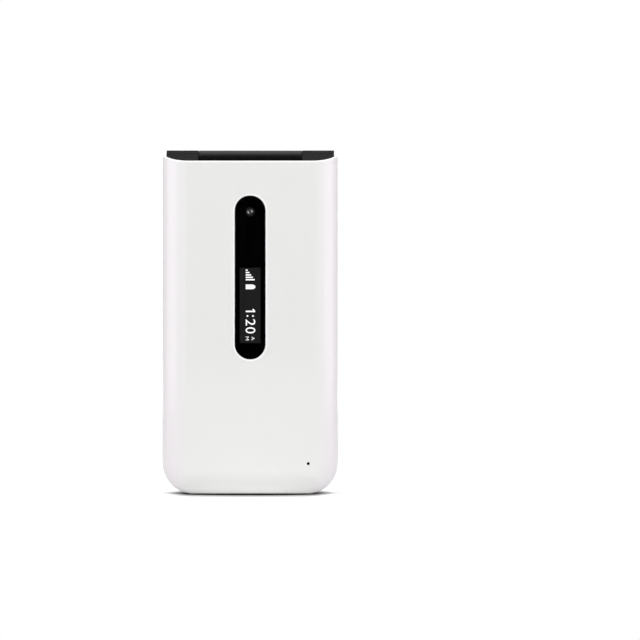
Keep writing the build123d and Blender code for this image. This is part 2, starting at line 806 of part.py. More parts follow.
def make_key(place):
    """Plain key: crowned cap, retaining flange below the plate and a stem towards its dome."""
    x0, x1, z0, z1 = place
    body = crowned(x0, x1, z0, z1, key_corner, flange_back_y)
    body += slab(x0 - flange_reach, x1 + flange_reach, z0 - flange_reach, z1 + flange_reach,
                 key_corner, flange_y, flange_back_y)
    stem_end_y = flange_back_y + stem_length
    return body + rod_y(stem_radius, flange_back_y, stem_end_y, (x0 + x1) / 2, (z0 + z1) / 2)


def nav_slab(grow, y0, y1):
    return slab(-nav_width / 2 - grow, nav_width / 2 + grow, nav_z - nav_height / 2 - grow,
                nav_z + nav_height / 2 + grow, nav_corner + grow, y0, y1)


def ok_slab(grow, y0, y1):
    return slab(-ok_width / 2 - grow, ok_width / 2 + grow, nav_z - ok_height / 2 - grow,
                nav_z + ok_height / 2 + grow, ok_corner + grow, y0, y1)


def make_nav_ring():
    """Four-way ring round the OK key, with a thin flange below the plate."""
    body = crowned(-nav_width / 2, nav_width / 2, nav_z - nav_height / 2, nav_z + nav_height / 2,
                   nav_corner, nav_back_y)
    body += nav_slab(flange_reach, nav_flange_y, nav_back_y)
    body -= ok_slab(ok_clearance, key_top_y - 1, nav_back_y)
    return body - ok_slab(nav_back_pocket, plate_back_y - pocket_overlap, nav_back_y)


def make_ok_key():
    """Middle key of the ring."""
    body = slab(-ok_width / 2, ok_width / 2, nav_z - ok_height / 2, nav_z + ok_height / 2, ok_corner,
                key_top_y, flange_back_y)
    body = fillet(body.faces().sort_by(Axis.Y)[0].edges(), key_edge)
    body += ok_slab(ok_flange_reach, plate_back_y + ok_flange_gap, flange_back_y)
    return body + rod_y(stem_radius, flange_back_y, flange_back_y + stem_length, 0, nav_z)


def make_nav_pivot():
    """Two rocker pads that carry the ring and tilt it sideways."""
    def pad(side):
        x = side * pivot_pad_x
        return block(x - pivot_pad_width / 2, x + pivot_pad_width / 2, pivot_y, pivot_y + pivot_pad_depth,
                     nav_z - pivot_pad_height / 2, nav_z + pivot_pad_height / 2)
    return both_sides(pad)


def make_keypad_plate():
    """Front plate of the base with an opening for every key."""
    body = outline_slab(0, deck_y, plate_back_y, deck_top_z, lid_top_corner)
    body = fillet(body.faces().sort_by(Axis.Y)[0].edges(), plate_edge)
    for x0, x1, z0, z1 in key_places().values():
        grow = key_clearance
        body -= slab(x0 - grow, x1 + grow, z0 - grow, z1 + grow, key_corner + grow, deck_y, plate_back_y)
    body -= nav_slab(key_clearance, deck_y, plate_back_y)
    for x, z in base_screws_at:
        body += rod_y(screw_shank_radius + boss_wall, plate_back_y, base_screw_seat_y, x, z)
        body -= rod_y(screw_shank_radius + thread_play, plate_back_y - screw_tip_room,
                      base_screw_seat_y, x, z)
    return body


def make_key_sheet():
    """Silicone sheet under the keys."""
    return slab(-sheet_half_width, sheet_half_width, keypad_bottom - sheet_margin, keypad_top + sheet_margin,
                key_corner, sheet_y, sheet_y + sheet_depth)


def dome_places():
    """Centre of every dome: one under each key, five under the ring."""
    centres = [((x0 + x1) / 2, (z0 + z1) / 2) for x0, x1, z0, z1 in key_places().values()]
    reach_x = nav_width / 2 - dome_inset
    reach_z = nav_height / 2 - dome_inset
    centres += [(0, nav_z), (reach_x, nav_z), (-reach_x, nav_z)]
    return centres + [(0, nav_z + reach_z), (0, nav_z - reach_z)]


def make_dome_sheet():
    """Film with the metal snap domes, on the front of the main board."""
    film_y = board_y - dome_film
    body = block(-sheet_half_width, sheet_half_width, film_y, board_y, keypad_bottom - sheet_margin,
                 keypad_top + sheet_margin)
    for x, z in dome_places():
        body += rod_y(dome_radius, dome_y, film_y, x, z)
    return body


# ---- Base ---------------------------------------------------------------------------------
base_screw_seat_y = base_screw_head_y - screw_head_height


def rocker_block(grow_y, grow_z, x0, x1):
    return block(x0, x1, port_y - rocker_width / 2 - grow_y, port_y + rocker_width / 2 + grow_y,
                 rocker_z - rocker_length / 2 - grow_z, rocker_z + rocker_length / 2 + grow_z)


def make_base_chassis():
    """Dark middle housing: side band, battery tray, island shelf, top block and hinge barrel."""
    top = hinge_z
    band = outline_slab(0, band_front_y, band_back_y, top, lid_top_corner)
    band -= outline_slab(band_wall, band_front_y, band_back_y, 2 * height, lid_top_corner)
    inside = outline_slab(band_wall / 2, band_front_y, band_back_y, top, lid_top_corner)
    bay_top = battery_top + battery_play
    body = band + (inside & block(-half_width, half_width, floor_y, bay_floor_y, 0, bay_top))
    form = rolled_body(wall + fit, cover_inner_y - fit, band_front_y, base_edge_depth)
    body += form & block(-half_width, half_width, shelf_y, shelf_back_y, shelf_bottom, top_block_z)
    body += form & block(-half_width, half_width, band_front_y, back_y, top_block_z, 2 * height)
    body += form & block(-half_width, half_width, bay_floor_y, back_y, 0, battery_bottom - battery_play)
    for x, z in base_screws_at[:2]:
        body += rod_y(screw_shank_radius + 2 * boss_wall, board_back_y, band_back_y, x, z)
    body += pill(island_width - 2 * fit, island_height - 2 * fit, 0, island_z, shelf_back_y, island_back_y)
    body -= pill(island_width - 2 * pedestal_wall, island_height - 2 * pedestal_wall, 0, island_z,
                 shelf_back_y, island_back_y)
    body += battery_tray()
    body -= above_base_slope(slope_step)

    web = block(-barrel_half_length, barrel_half_length, deck_y, hinge_y + barrel_radius,
                deck_top_z + seam, hinge_z)
    web += block(-barrel_half_length, barrel_half_length, band_front_y, hinge_y + barrel_radius,
                 top_block_z, hinge_z)

    def swing(side):
        x0, x1 = mirrored_span(side, barrel_half_length, half_width + 1)
        return rod_x(knuckle_swing, x0, x1)

    body -= both_sides(swing)
    body += web + rod_x(barrel_radius, -barrel_half_length, barrel_half_length)
    body -= rod_x(bore_radius, -barrel_half_length, -barrel_half_length + bush_reach)
    body -= rod_x(bore_radius + running_clearance, barrel_half_length - bush_reach, barrel_half_length)
    body -= rod_x(flex_roll_radius + flex_chamber, flex_roll_x0 - flex_chamber, barrel_half_length)
    body -= base_flex_path(flex_clearance)
    for x, z in base_screws_at:
        body -= rod_y(screw_head_radius + 2 * fit, base_screw_seat_y, back_y, x, z)
        body -= rod_y(screw_shank_radius + boss_wall + fit, band_front_y, base_screw_seat_y + fit, x, z)
    return body - side_openings()


def battery_tray():
    """Low walls round the battery."""
    x = battery_half_width + battery_play
    low = battery_bottom - battery_play
    y1 = bay_floor_y + bay_wall_depth
    tray = block(-x - bay_wall, x + bay_wall, bay_floor_y, y1, low - bay_wall, battery_top + battery_play)
    return tray - block(-x, x, bay_floor_y, y1, low, battery_top + battery_play)


def side_openings():
    """Openings in the chassis for the volume rocker, the headset socket and the charging port."""
    cut = rocker_block(rocker_clearance, rocker_clearance, -half_width, -half_width + band_wall)
    cut += rocker_block(rocker_flange + fit, rocker_flange + fit, -half_width + band_wall,
                        rocker_back_x + rocker_play)
    cut += jack_body_block(fit)
    collar_hole = jack_bore_radius + jack_collar + fit / 2
    cut += rod_x(collar_hole, -half_width, -half_width + band_wall, port_y, jack_z)
    return cut + block(-usb_width / 2 - fit, usb_width / 2 + fit, port_y - usb_height / 2 - fit,
                       port_y + usb_height / 2 + fit, -1, usb_length + fit)


def jack_body_block(grow):
    half = jack_body_side / 2 + grow
    return block(-half_width + band_wall, -half_width + band_wall + jack_bore_length + grow,
                 port_y - half, port_y + half, jack_z - half, jack_z + half)


def make_headset_jack():
    """Headset socket: body behind the side band and a collar that reaches the outer face."""
    mouth = -half_width + face_recess
    collar = rod_x(jack_bore_radius + jack_collar, mouth, -half_width + band_wall + fit, port_y, jack_z)
    body = jack_body_block(0) + collar
    return body - rod_x(jack_bore_radius, mouth, mouth + jack_bore_length, port_y, jack_z)


def make_usb_port():
    """Charging socket in the bottom edge: metal shell with a tongue."""
    half_x, half_y = usb_width / 2, usb_height / 2
    low = usb_recess

    def stadium(inset, z0, z1):
        outline = Pos(0, port_y) * RectangleRounded(2 * (half_x - inset), 2 * (half_y - inset),
                                                    half_y - inset - tiny)
        return Pos(0, 0, z0) * extrude(outline, z1 - z0)

    body = stadium(0, low, usb_length) - stadium(usb_wall, low, usb_length - usb_back_wall)
    tongue = block(-usb_tongue_width / 2, usb_tongue_width / 2, port_y - usb_tongue / 2,
                   port_y + usb_tongue / 2, low + usb_tongue_recess, usb_length - usb_back_wall / 2)
    return body + tongue


def make_main_board():
    """Main circuit board, notched for the sockets."""
    body = block(-board_half_width, board_half_width, board_y, board_back_y, board_bottom, board_top)
    body -= jack_body_block(2 * fit)
    for x, z in base_screws_at:
        body -= rod_y(screw_shank_radius + 2 * boss_wall + fit, board_y, board_back_y, x, z)
    notch = usb_width / 2 + 2 * fit
    return body - block(-notch, notch, board_y, board_back_y, board_bottom, usb_length + 2 * fit)


def make_shield_cans():
    """Tinned lids over the radio and the processor, on the back of the board."""
    z1 = board_top - shield_top_gap
    z0 = z1 - shield_height
    gap_x = (shield_x0 + shield_x1) / 2
    y1 = board_back_y + shield_depth
    left = slab(shield_x0, gap_x - shield_gap / 2, z0, z1, shield_corner, board_back_y, y1)
    right = slab(gap_x + shield_gap / 2, shield_x1, z0, z1, shield_corner, board_back_y, y1)
    return left + right


def make_battery():
    """Flat removable battery pack."""
    return slab(-battery_half_width, battery_half_width, battery_bottom, battery_top, battery_corner,
                bay_floor_y + fit, battery_back_y)


def make_board_connectors():
    """Battery contact block and card socket on the back of the main board, above the battery."""
    z0 = battery_top + battery_play + fit
    contact = block(contact_x - contact_width / 2, contact_x + contact_width / 2, board_back_y,
                    board_back_y + contact_depth, z0, z0 + contact_height)
    contact_back_y = board_back_y + contact_depth
    for step in range(contact_count):
        x = contact_x + (step - (contact_count - 1) / 2) * contact_pitch
        contact -= block(x - contact_slot / 2, x + contact_slot / 2, contact_back_y - contact_slot,
                         contact_back_y, z0, z0 + contact_height / 2)
    card_z = service_z + service_shift
    card = block(card_x - card_width / 2, card_x + card_width / 2, board_back_y, board_back_y + card_depth,
                 card_z - card_height / 2, card_z + card_height / 2)
    return contact + card


def make_vibration_motor():
    """Coin motor beside the card socket."""
    return rod_y(motor_radius, board_back_y, board_back_y + motor_depth, motor_x,
                 service_z + service_shift)


def make_back_cover():
    """Removable back cover with the island opening."""
    body = rolled_body(0, back_y, band_front_y, base_edge_depth)
    body &= block(-half_width, half_width, cover_split_y, back_y, 0, 2 * height)
    body -= rolled_body(wall, cover_inner_y, band_front_y, base_edge_depth)
    body -= above_base_slope()
    body -= pill(island_width + 2 * fit, island_height + 2 * fit, 0, island_z, cover_inner_y - wall, back_y)
    rim = rim_edges(body, back_y, island_width + 2 * fit, island_height + 2 * fit, island_z)
    return chamfer(rim, window_chamfer)


def make_back_island():
    """Black panel on the chassis with the loudspeaker opening and the key opening."""
    body = pill(island_width - 2 * fit, island_height - 2 * fit, 0, island_z, island_back_y, island_face_y)
    body -= rod_y(speaker_opening_radius, island_back_y, island_face_y, speaker_x, island_z)
    body -= rod_y(speaker_opening_radius + speaker_ring, island_face_y - speaker_ring_depth, island_face_y,
                  speaker_x, island_z)
    return body - pill(sos_width + 2 * key_clearance, sos_height + 2 * key_clearance, sos_x, island_z,
                       island_back_y, island_face_y)


def make_speaker_mesh():
    """Cloth disc over the loudspeaker, set in the island."""
    y1 = island_face_y - speaker_mesh_recess
    return rod_y(speaker_opening_radius - fit / 2, y1 - mesh_depth, y1, speaker_x, island_z)


def make_loudspeaker():
    """Round loudspeaker on the island shelf."""
    y1 = island_back_y - fit
    body = rod_y(speaker_radius, shelf_back_y, y1, speaker_x, island_z)
    return body - rod_y(cone_radius, y1 - cone_depth, y1, speaker_x, island_z)


def make_sos_key():
    """Quick-call key in the island."""
    y1 = island_back_y - fit
    y0 = y1 - sos_flange_depth
    body = pill(sos_width, sos_height, sos_x, island_z, y0, island_face_y)
    body = fillet(body.faces().sort_by(Axis.Y)[-1].edges(), key_edge)
    body += pill(sos_width + 2 * sos_flange_reach, sos_height + 2 * sos_flange_reach, sos_x, island_z, y0, y1)
    return body + rod_y(stem_radius, switch_top_y + sos_travel + switch_gap, y0, sos_x, island_z)


switch_top_y = shelf_back_y + switch_depth


def make_tact_switches():
    """Switch under the quick-call key and the two switches behind the volume rocker."""
    body = block(sos_x - switch_side / 2, sos_x + switch_side / 2, shelf_back_y, switch_top_y,
                 island_z - switch_side / 2, island_z + switch_side / 2)
    x0 = rocker_back_x + rocker_play
    for side in (-1, 1):
        z = rocker_z + side * (rocker_length / 2 - rocker_switch_inset)
        body += block(x0, -board_half_width, board_back_y - side_switch_depth, board_back_y,
                      z - side_switch_length / 2, z + side_switch_length / 2)
    return body


rocker_back_x = -half_width + band_wall + rocker_play + rocker_flange


def make_volume_rocker():
    """Volume rocker in the left side band, with a dip at its middle and a flange behind the band."""
    x0 = -half_width + rocker_recess
    x1 = -half_width + band_wall + rocker_play
    body = rocker_block(0, 0, x0, x1)
    body = fillet(body.faces().sort_by(Axis.X)[0].edges(), rocker_edge)
    dip_x = x0 + rocker_dip_depth - rocker_dip_radius
    body -= rod_y(rocker_dip_radius, port_y - rocker_width, port_y + rocker_width, dip_x, rocker_z)
    return body + rocker_block(rocker_flange, rocker_flange, x1, rocker_back_x)


def make_base_screws():
    """Four screws that hold the chassis to the keypad plate."""
    return Compound([screw(x, z, base_screw_head_y, -1) for x, z in base_screws_at])


# ---- All nodes ----------------------------------------------------------------------------
def make_nodes():
    nodes = {
        "lid_cover": make_lid_cover(),
        "lid_window": make_lid_window(),
        "camera_module": make_camera_module(),
        "outer_display": make_outer_display(),
        "lid_board": make_lid_board(),
        "main_display": make_main_display(),
        "display_glass": make_display_glass(),
        "lid_frame": make_lid_frame(),
        "earpiece": make_earpiece(),
        "earpiece_mesh": make_earpiece_mesh(),
        "lid_bumpers": make_lid_bumpers(),
        "lid_screws": make_lid_screws(),
        "hinge_end_caps": make_hinge_end_caps(),
        "hinge_cartridge": make_hinge_cartridge(),
        "hinge_spring": make_hinge_spring(),
        "hinge_bush": make_hinge_bush(),
        "lid_flex": make_lid_flex(),
        "base_chassis": make_base_chassis(),
        "hinge_shaft": make_hinge_shaft(),
        "base_flex": make_base_flex(),
        "keypad_plate": make_keypad_plate(),
        "key_sheet": make_key_sheet(),
        "dome_sheet": make_dome_sheet(),
        "main_board": make_main_board(),
        "shield_cans": make_shield_cans(),
        "battery": make_battery(),
        "board_connectors": make_board_connectors(),
        "back_cover": make_back_cover(),
        "back_island": make_back_island(),
        "loudspeaker": make_loudspeaker(),
        "speaker_mesh": make_speaker_mesh(),
        "sos_key": make_sos_key(),
        "volume_rocker": make_volume_rocker(),
        "tact_switches": make_tact_switches(),
        "headset_jack": make_headset_jack(),
        "usb_port": make_usb_port(),
        "vibration_motor": make_vibration_motor(),
        "base_screws": make_base_screws(),
        "nav_pivot": make_nav_pivot(),
        "nav_ring": make_nav_ring(),
        "ok_key": make_ok_key(),
    }
    for name, place in key_places().items():
        nodes[name] = make_key(place)
    return nodes


os.makedirs("parts", exist_ok=True)
for node_name, solid in make_nodes().items():
    export_step(solid, f"parts/{node_name}.step")
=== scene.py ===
"""Looks of the clamshell phone: materials, printed marks, screens, studio and camera."""
from math import cos, exp, pi, radians, sin, sqrt, tau

import bmesh
import bpy
from mathutils import Matrix, Vector


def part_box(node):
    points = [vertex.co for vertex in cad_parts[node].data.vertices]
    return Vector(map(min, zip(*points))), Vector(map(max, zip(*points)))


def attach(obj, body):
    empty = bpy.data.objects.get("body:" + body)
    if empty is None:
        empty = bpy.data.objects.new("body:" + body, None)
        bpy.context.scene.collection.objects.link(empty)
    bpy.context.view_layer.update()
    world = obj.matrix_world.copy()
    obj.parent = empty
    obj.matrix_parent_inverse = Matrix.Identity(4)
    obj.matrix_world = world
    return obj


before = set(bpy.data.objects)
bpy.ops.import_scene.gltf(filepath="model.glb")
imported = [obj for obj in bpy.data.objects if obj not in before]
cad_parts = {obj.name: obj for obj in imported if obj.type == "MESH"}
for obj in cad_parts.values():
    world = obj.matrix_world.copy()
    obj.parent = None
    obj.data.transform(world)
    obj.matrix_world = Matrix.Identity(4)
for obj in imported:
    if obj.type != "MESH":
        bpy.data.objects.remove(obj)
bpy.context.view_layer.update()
scene = bpy.context.scene

MM = 0.001
PROUD = 0.015                # height of printed marks above their face, mm
CAPITAL_HEIGHT = 0.685       # of the text font, as a share of its size
ARC_STEPS = 12               # points in a quarter turn of an outline


def node_box(name):
    """Lowest and highest corner of a CAD node, mm."""
    low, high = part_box(name)
    return low / MM, high / MM


def node_middle(name):
    low, high = node_box(name)
    return (low + high) / 2


def new_object(name, data):
    made = bpy.data.objects.new(name, data)
    scene.collection.objects.link(made)
    return made


# ---- Sizes read from the frame ----
cover_low, _ = node_box("lid_cover")
_, window_high = node_box("lid_window")
panel_low, _ = node_box("outer_display")
camera_low, _ = node_box("camera_module")
island_low, island_high = node_box("back_island")
_, disc_high = node_box("speaker_mesh")
_, sos_high = node_box("sos_key")
rocker_low, _ = node_box("volume_rocker")
screen_low, screen_high = node_box("main_display")
mesh_low, mesh_high = node_box("earpiece_mesh")
_, battery_high = node_box("battery")
_, board_high = node_box("main_board")
jack_low, _ = node_box("headset_jack")
_, cap_high = node_box("hinge_end_caps")
camera_z = node_middle("camera_module").z


# ---- Shader helpers ----
class Graph:
    """Nodes of one shader tree."""

    def __init__(self, tree):
        self.tree = tree

    def add(self, kind, inputs=None, **settings):
        """Node whose inputs are linked to sockets or set to values."""
        node = self.tree.nodes.new("ShaderNode" + kind)
        for key, value in settings.items():
            setattr(node, key, value)
        for key, value in (inputs or {}).items():
            if isinstance(value, bpy.types.NodeSocket):
                self.link(value, node.inputs[key])
            else:
                node.inputs[key].default_value = value
        return node

    def link(self, output, socket):
        self.tree.links.new(output, socket)

    def compute(self, operation, a, b, **settings):
        return self.add("Math", {0: a, 1: b}, operation=operation, **settings).outputs[0]

    def ramp(self, value, low, high, to_low=0.0, to_high=1.0, **settings):
        """Value carried from one range to another, and held at the ends."""
        inputs = {"Value": value, "From Min": low, "From Max": high, "To Min": to_low, "To Max": to_high}
        return self.add("MapRange", inputs, **settings).outputs["Result"]

    def length(self, vector):
        return self.add("VectorMath", {0: vector}, operation="LENGTH").outputs["Value"]

    def seen_directly(self):
        """1 for camera, glossy and transmission rays."""
        path = self.add("LightPath").outputs
        total = path["Is Camera Ray"]
        for key in ("Is Glossy Ray", "Is Transmission Ray"):
            total = self.compute("ADD", total, path[key], use_clamp=True)
        return total


class Shader(Graph):
    """A Principled material with patterns in object space."""

    def __init__(self, name, colour, roughness, metallic=0.0, specular=0.5, coat=(0.0, 0.03), **sockets):
        self.material = bpy.data.materials.new(name)
        self.material.use_nodes = True
        super().__init__(self.material.node_tree)
        self.bsdf = self.tree.nodes["Principled BSDF"]
        self.position = self.add("TexCoord").outputs["Object"]
        self.normal = None
        self.set(Base_Color=(*colour, 1.0), Roughness=roughness, Metallic=metallic,
                 Specular_IOR_Level=specular, Coat_Weight=coat[0], Coat_Roughness=coat[1], **sockets)

    def set(self, **sockets):
        for key, value in sockets.items():
            self.bsdf.inputs[key.replace("_", " ")].default_value = value

    def noise(self, size, detail=2.0, stretch=(1, 1, 1)):
        """Noise with cells about size mm across, stretched along the axes."""
        shrink = [1.0 / s for s in stretch]
        scaled = self.add("VectorMath", {0: self.position, 1: shrink}, operation="MULTIPLY")
        inputs = {"Vector": scaled.outputs[0], "Scale": 1.0 / (size * MM), "Detail": detail}
        return self.add("TexNoise", inputs).outputs["Fac"]

    def cells(self, size):
        """Distance from scattered points about size mm apart."""
        inputs = {"Vector": self.position, "Scale": 1.0 / (size * MM)}
        return self.add("TexVoronoi", inputs).outputs["Distance"]

    def waves(self, pitch, axis="X"):
        """Sine bands across an axis, pitch mm apart."""
        inputs = {"Vector": self.position, "Scale": tau / 20.0 / (pitch * MM)}
        texture = self.add("TexWave", inputs, bands_direction=axis, wave_profile="SIN")
        return texture.outputs["Fac"]

    def along(self, axis, vector=None):
        """Position, or another vector, along x, y or z."""
        split = self.add("SeparateXYZ", {0: vector or self.position})
        return split.outputs["xyz".index(axis)]

    def between(self, axis, start, end, softness=0.2):
        """1 where the position along an axis lies between start and end, mm."""
        spot = self.along(axis)
        rise = self.ramp(spot, (start - softness) * MM, (start + softness) * MM)
        fall = self.ramp(spot, (end - softness) * MM, (end + softness) * MM, 1, 0)
        return self.compute("MULTIPLY", rise, fall)

    def tint(self, value, colour, low=0.3, high=0.7):
        """Mixes another colour into the base colour where value is high."""
        base = self.bsdf.inputs["Base Color"]
        before = base.links[0].from_socket if base.is_linked else base.default_value
        inputs = {"Factor": self.ramp(value, low, high), "A": before, "B": (*colour, 1.0)}
        mix = self.add("Mix", inputs, data_type="RGBA")
        self.link(mix.outputs["Result"], base)
        return self

    def glow(self, strength):
        """Turns the base colour into light."""
        base = self.bsdf.inputs["Base Color"]
        picture = base.links[0].from_socket
        self.tree.links.remove(base.links[0])
        self.link(picture, self.bsdf.inputs["Emission Color"])
        self.set(Base_Color=(0, 0, 0, 1), Emission_Strength=strength)
        return self

    def polish(self, value, smooth, rough, low=0.3, high=0.7):
        """Roughness runs from smooth to rough as value rises."""
        self.link(self.ramp(value, low, high, smooth, rough), self.bsdf.inputs["Roughness"])
        return self

    def relief(self, value, height, strength=1.0):
        """Bump of about height mm, on top of any relief set before."""
        inputs = {"Height": value, "Distance": height * MM, "Strength": strength}
        if self.normal is not None:
            inputs["Normal"] = self.normal
        self.normal = self.add("Bump", inputs).outputs["Normal"]
        self.link(self.normal, self.bsdf.inputs["Normal"])
        return self


# ---- Materials ----
PEARL = (0.812, 0.812, 0.795)
PEARL_DEEP = (0.795, 0.795, 0.785)
# pink of the pearl's sheen, painted on the sides by how far they face sideways
PEARL_SIDE_SHEEN = (0.815, 0.745, 0.806)
# painted highlight on the lid's sloping top edge
EDGE_HIGHLIGHT = (0.97, 0.97, 0.97)
SATIN_WHITE = (0.78, 0.78, 0.77), (0.755, 0.755, 0.745)
KEY_WHITE = (0.8, 0.8, 0.79), (0.78, 0.785, 0.785)
KEY_SILVER = (0.5, 0.51, 0.53), (0.44, 0.45, 0.47)
HOUSING = (0.0115, 0.0115, 0.012)
HOUSING_DEEP = (0.0085, 0.0085, 0.009)
BARREL_BLACK = (0.003, 0.003, 0.0035)
GLOSS_BLACK = (0.01, 0.01, 0.011)
PANEL_BLACK = (0.006, 0.006, 0.007)
PANEL_CELL = (0.009, 0.009, 0.011)
CAMERA_BLACK = (0.012, 0.012, 0.013), (0.018, 0.018, 0.02)
BEZEL_DARK = (0.05, 0.05, 0.055)
# painted highlight on the lens bezel's sides
BEZEL_HIGHLIGHT = (0.62, 0.62, 0.64)
LENS_BLUE = (0.004, 0.004, 0.01)
LENS_VIOLET = (0.01, 0.004, 0.02)
EPOXY_BLACK = (0.02, 0.02, 0.022)
PCB_GREEN = (0.02, 0.105, 0.055)
TRACK_GREEN = (0.032, 0.15, 0.08)
LANE_GREEN = (0.028, 0.135, 0.07)
COPPER = (0.62, 0.33, 0.16)
GOLD = (0.83, 0.62, 0.26)
STEEL = (0.55, 0.55, 0.56)
AMBER = (0.42, 0.2, 0.045)
WRAP_GREY = (0.3, 0.31, 0.33)
WRAP_DEEP = (0.27, 0.28, 0.3)
SKY_HIGH = (0.015, 0.085, 0.33)
SKY_LOW = (0.14, 0.48, 0.74)
BAND_BLUE = (0.004, 0.012, 0.03)
WHITE = (1.0, 1.0, 1.0)

lid_edge = (109.0, 118.0)    # heights between which the lid's sloping top edge lies
barrel_heights = (106.0, 116.0)
barrel_half = 17.15
wrap_strip = 5.5             # dark end of the battery's wrap
horizon = 72.0               # height at which the sky is palest
hills = [                    # height across the picture, swell, size of the waves in mm, colour
    (60.0, 9.0, 16.0, (0.03, 0.3, 0.33)),
    (68.0, 7.0, 11.0, (0.018, 0.21, 0.2)),
    (75.0, 6.0, 8.0, (0.01, 0.13, 0.11)),
]


def grained(name, tones, rough, patch, grain, depth, **sockets):
    """Two tones in patches and a relief of fine grain; both are given by size in mm and detail."""
    made = Shader(name, tones[0], rough, **sockets)
    made.tint(made.noise(*patch), tones[1])
    return made.relief(made.noise(*grain), depth).material


def plain(name, colour, rough, grain=0.15, depth=0.006, **sockets):
    """Moulded, printed or painted matter of one colour, its second tone close to it."""
    second = tuple(1.35 * c if c < 0.1 else 0.93 * c for c in colour)
    return grained(name, (colour, second), rough, (4 * grain, 3.0), (grain, 2.0), depth, **sockets)


def ink(name, colour):
    return plain(name, colour, 0.4, 0.1, 0.001)


def pearl_shell():
    """Lacquered white with pearl mottling, a painted pink sheen on the sides and a painted highlight on the
    sloping top.
    """
    made = Shader("pearl_shell", PEARL, 0.32, coat=(0.75, 0.05))
    facing = made.add("TexCoord").outputs["Normal"]
    # Painted sheen: pink where the face turns sideways
    made.tint(made.compute("ABSOLUTE", made.along("x", facing), 0), PEARL_SIDE_SHEEN, 0.06, 0.35)
    made.tint(made.noise(0.25, 3.0), PEARL_DEEP)
    # Painted highlight: near white where the lid's top edge faces upwards
    slope_highlight = made.ramp(made.along("z", facing), 0.25, 0.55)
    made.tint(made.compute("MULTIPLY", slope_highlight, made.between("z", *lid_edge)), EDGE_HIGHLIGHT, 0.0, 1.0)
    made.polish(made.noise(4.0), 0.29, 0.36)
    return made.relief(made.noise(1.4, 1.0), 0.0012).material


def housing():
    """Black moulded housing with a fine grain."""
    made = Shader("housing", HOUSING, 0.5, specular=0.12)
    made.tint(made.noise(0.35, 3.0), HOUSING_DEEP)
    made.polish(made.noise(0.5), 0.46, 0.56)
    return made.relief(made.noise(0.16, 3.0), 0.012).material


def chassis():
    """The same, polished and deeper on the hinge's round barrel."""
    made = Shader("chassis", HOUSING, 0.5, specular=0.4)
    made.tint(made.noise(0.35, 3.0), HOUSING_DEEP)
    barrel = made.compute("MULTIPLY", made.between("x", -barrel_half, barrel_half, 0.02),
                          made.between("z", *barrel_heights))
    made.tint(barrel, BARREL_BLACK, 0.0, 1.0)
    made.polish(barrel, 0.52, 0.2, 0.0, 1.0)
    grain = made.compute("MULTIPLY", made.noise(0.16, 3.0), made.ramp(barrel, 0, 1, 1, 0.12))
    return made.relief(grain, 0.012).material


def gloss_black():
    made = Shader("gloss_black", GLOSS_BLACK, 0.16, specular=0.22)
    made.polish(made.noise(1.2), 0.13, 0.2)
    return made.relief(made.noise(1.1, 1.0), 0.001).material


def glass(name, colour, ior):
    """Clear or smoked pane, very slightly uneven."""
    made = Shader(name, colour, 0.0, Transmission_Weight=1.0, IOR=ior)
    return made.relief(made.noise(8.0, 0.0), 0.0008).material


def dark_panel():
    """Display that is off: near black with faint cells."""
    made = Shader("dark_panel", PANEL_BLACK, 0.2, specular=0.05)
    return made.tint(made.waves(0.25, "Z"), PANEL_CELL, 0.2, 0.8).material


def board():
    """Green solder mask over copper tracks, with small gold vias."""
    made = Shader("board", PCB_GREEN, 0.38, coat=(0.5, 0.2))
    tracks = made.waves(0.55, "X")
    lanes = made.waves(0.7, "Z")
    made.tint(made.compute("MULTIPLY", tracks, made.noise(5.0, 0.0, (1, 1, 3))), TRACK_GREEN, 0.45, 0.52)
    made.tint(made.compute("MULTIPLY", lanes, made.noise(4.0, 0.0, (3, 1, 1))), LANE_GREEN, 0.5, 0.57)
    made.tint(made.cells(1.7), GOLD, 0.14, 0.11)
    return made.relief(tracks, 0.01, 0.6).material


def metal(name, colour, rough, brush=(1, 1, 1)):
    """Bright metal with brushing stretched along an axis."""
    made = Shader(name, colour, rough, metallic=1.0)
    brushing = made.noise(0.12, 3.0, brush)
    made.tint(made.noise(3.0), tuple(0.86 * c for c in colour))
    made.polish(brushing, 0.8 * rough, 1.25 * rough)
    return made.relief(brushing, 0.003).material


def flex_film():
    """Amber circuit film with copper lines showing through."""
    made = Shader("flex_film", AMBER, 0.3, coat=(0.5, 0.1))
    lines = made.waves(0.6, "X")
    return made.tint(lines, COPPER, 0.55, 0.75).relief(lines, 0.01, 0.5).material


def battery_wrap():
    """Pale grey cell wrap with a dark end strip; it carries no print."""
    made = Shader("battery_wrap", WRAP_GREY, 0.42, coat=(0.2, 0.3))
    made.tint(made.noise(2.0), WRAP_DEEP)
    strip = made.between("z", battery_high.z - wrap_strip, battery_high.z + 1, 0.05)
    made.tint(strip, EPOXY_BLACK, 0, 1)
    return made.relief(made.noise(5.0, 2.0), 0.03).material


def lit(name, colour, strength):
    """Lit part of a screen: faint cells on an even glow."""
    made = Shader(name, colour, 0.3, specular=0.05)
    made.tint(made.waves(0.2, "X"), tuple(0.96 * c for c in colour), 0, 1)
    return made.glow(strength).material


def wallpaper():
    """Lit picture behind the icons: a clear sky over three rows of hills."""
    made = Shader("wallpaper", SKY_HIGH, 0.3, specular=0.05)
    made.tint(made.along("z"), SKY_LOW, screen_low.z * MM, horizon * MM)
    for level, swell, size, colour in hills:
        ridge = made.ramp(made.noise(size, 1.0, (1, 1, 200)), 0.2, 0.8, -swell * MM, swell * MM)
        made.tint(made.compute("ADD", made.along("z"), ridge), colour, level * MM, (level + 0.25) * MM)
    return made.glow(0.95).material


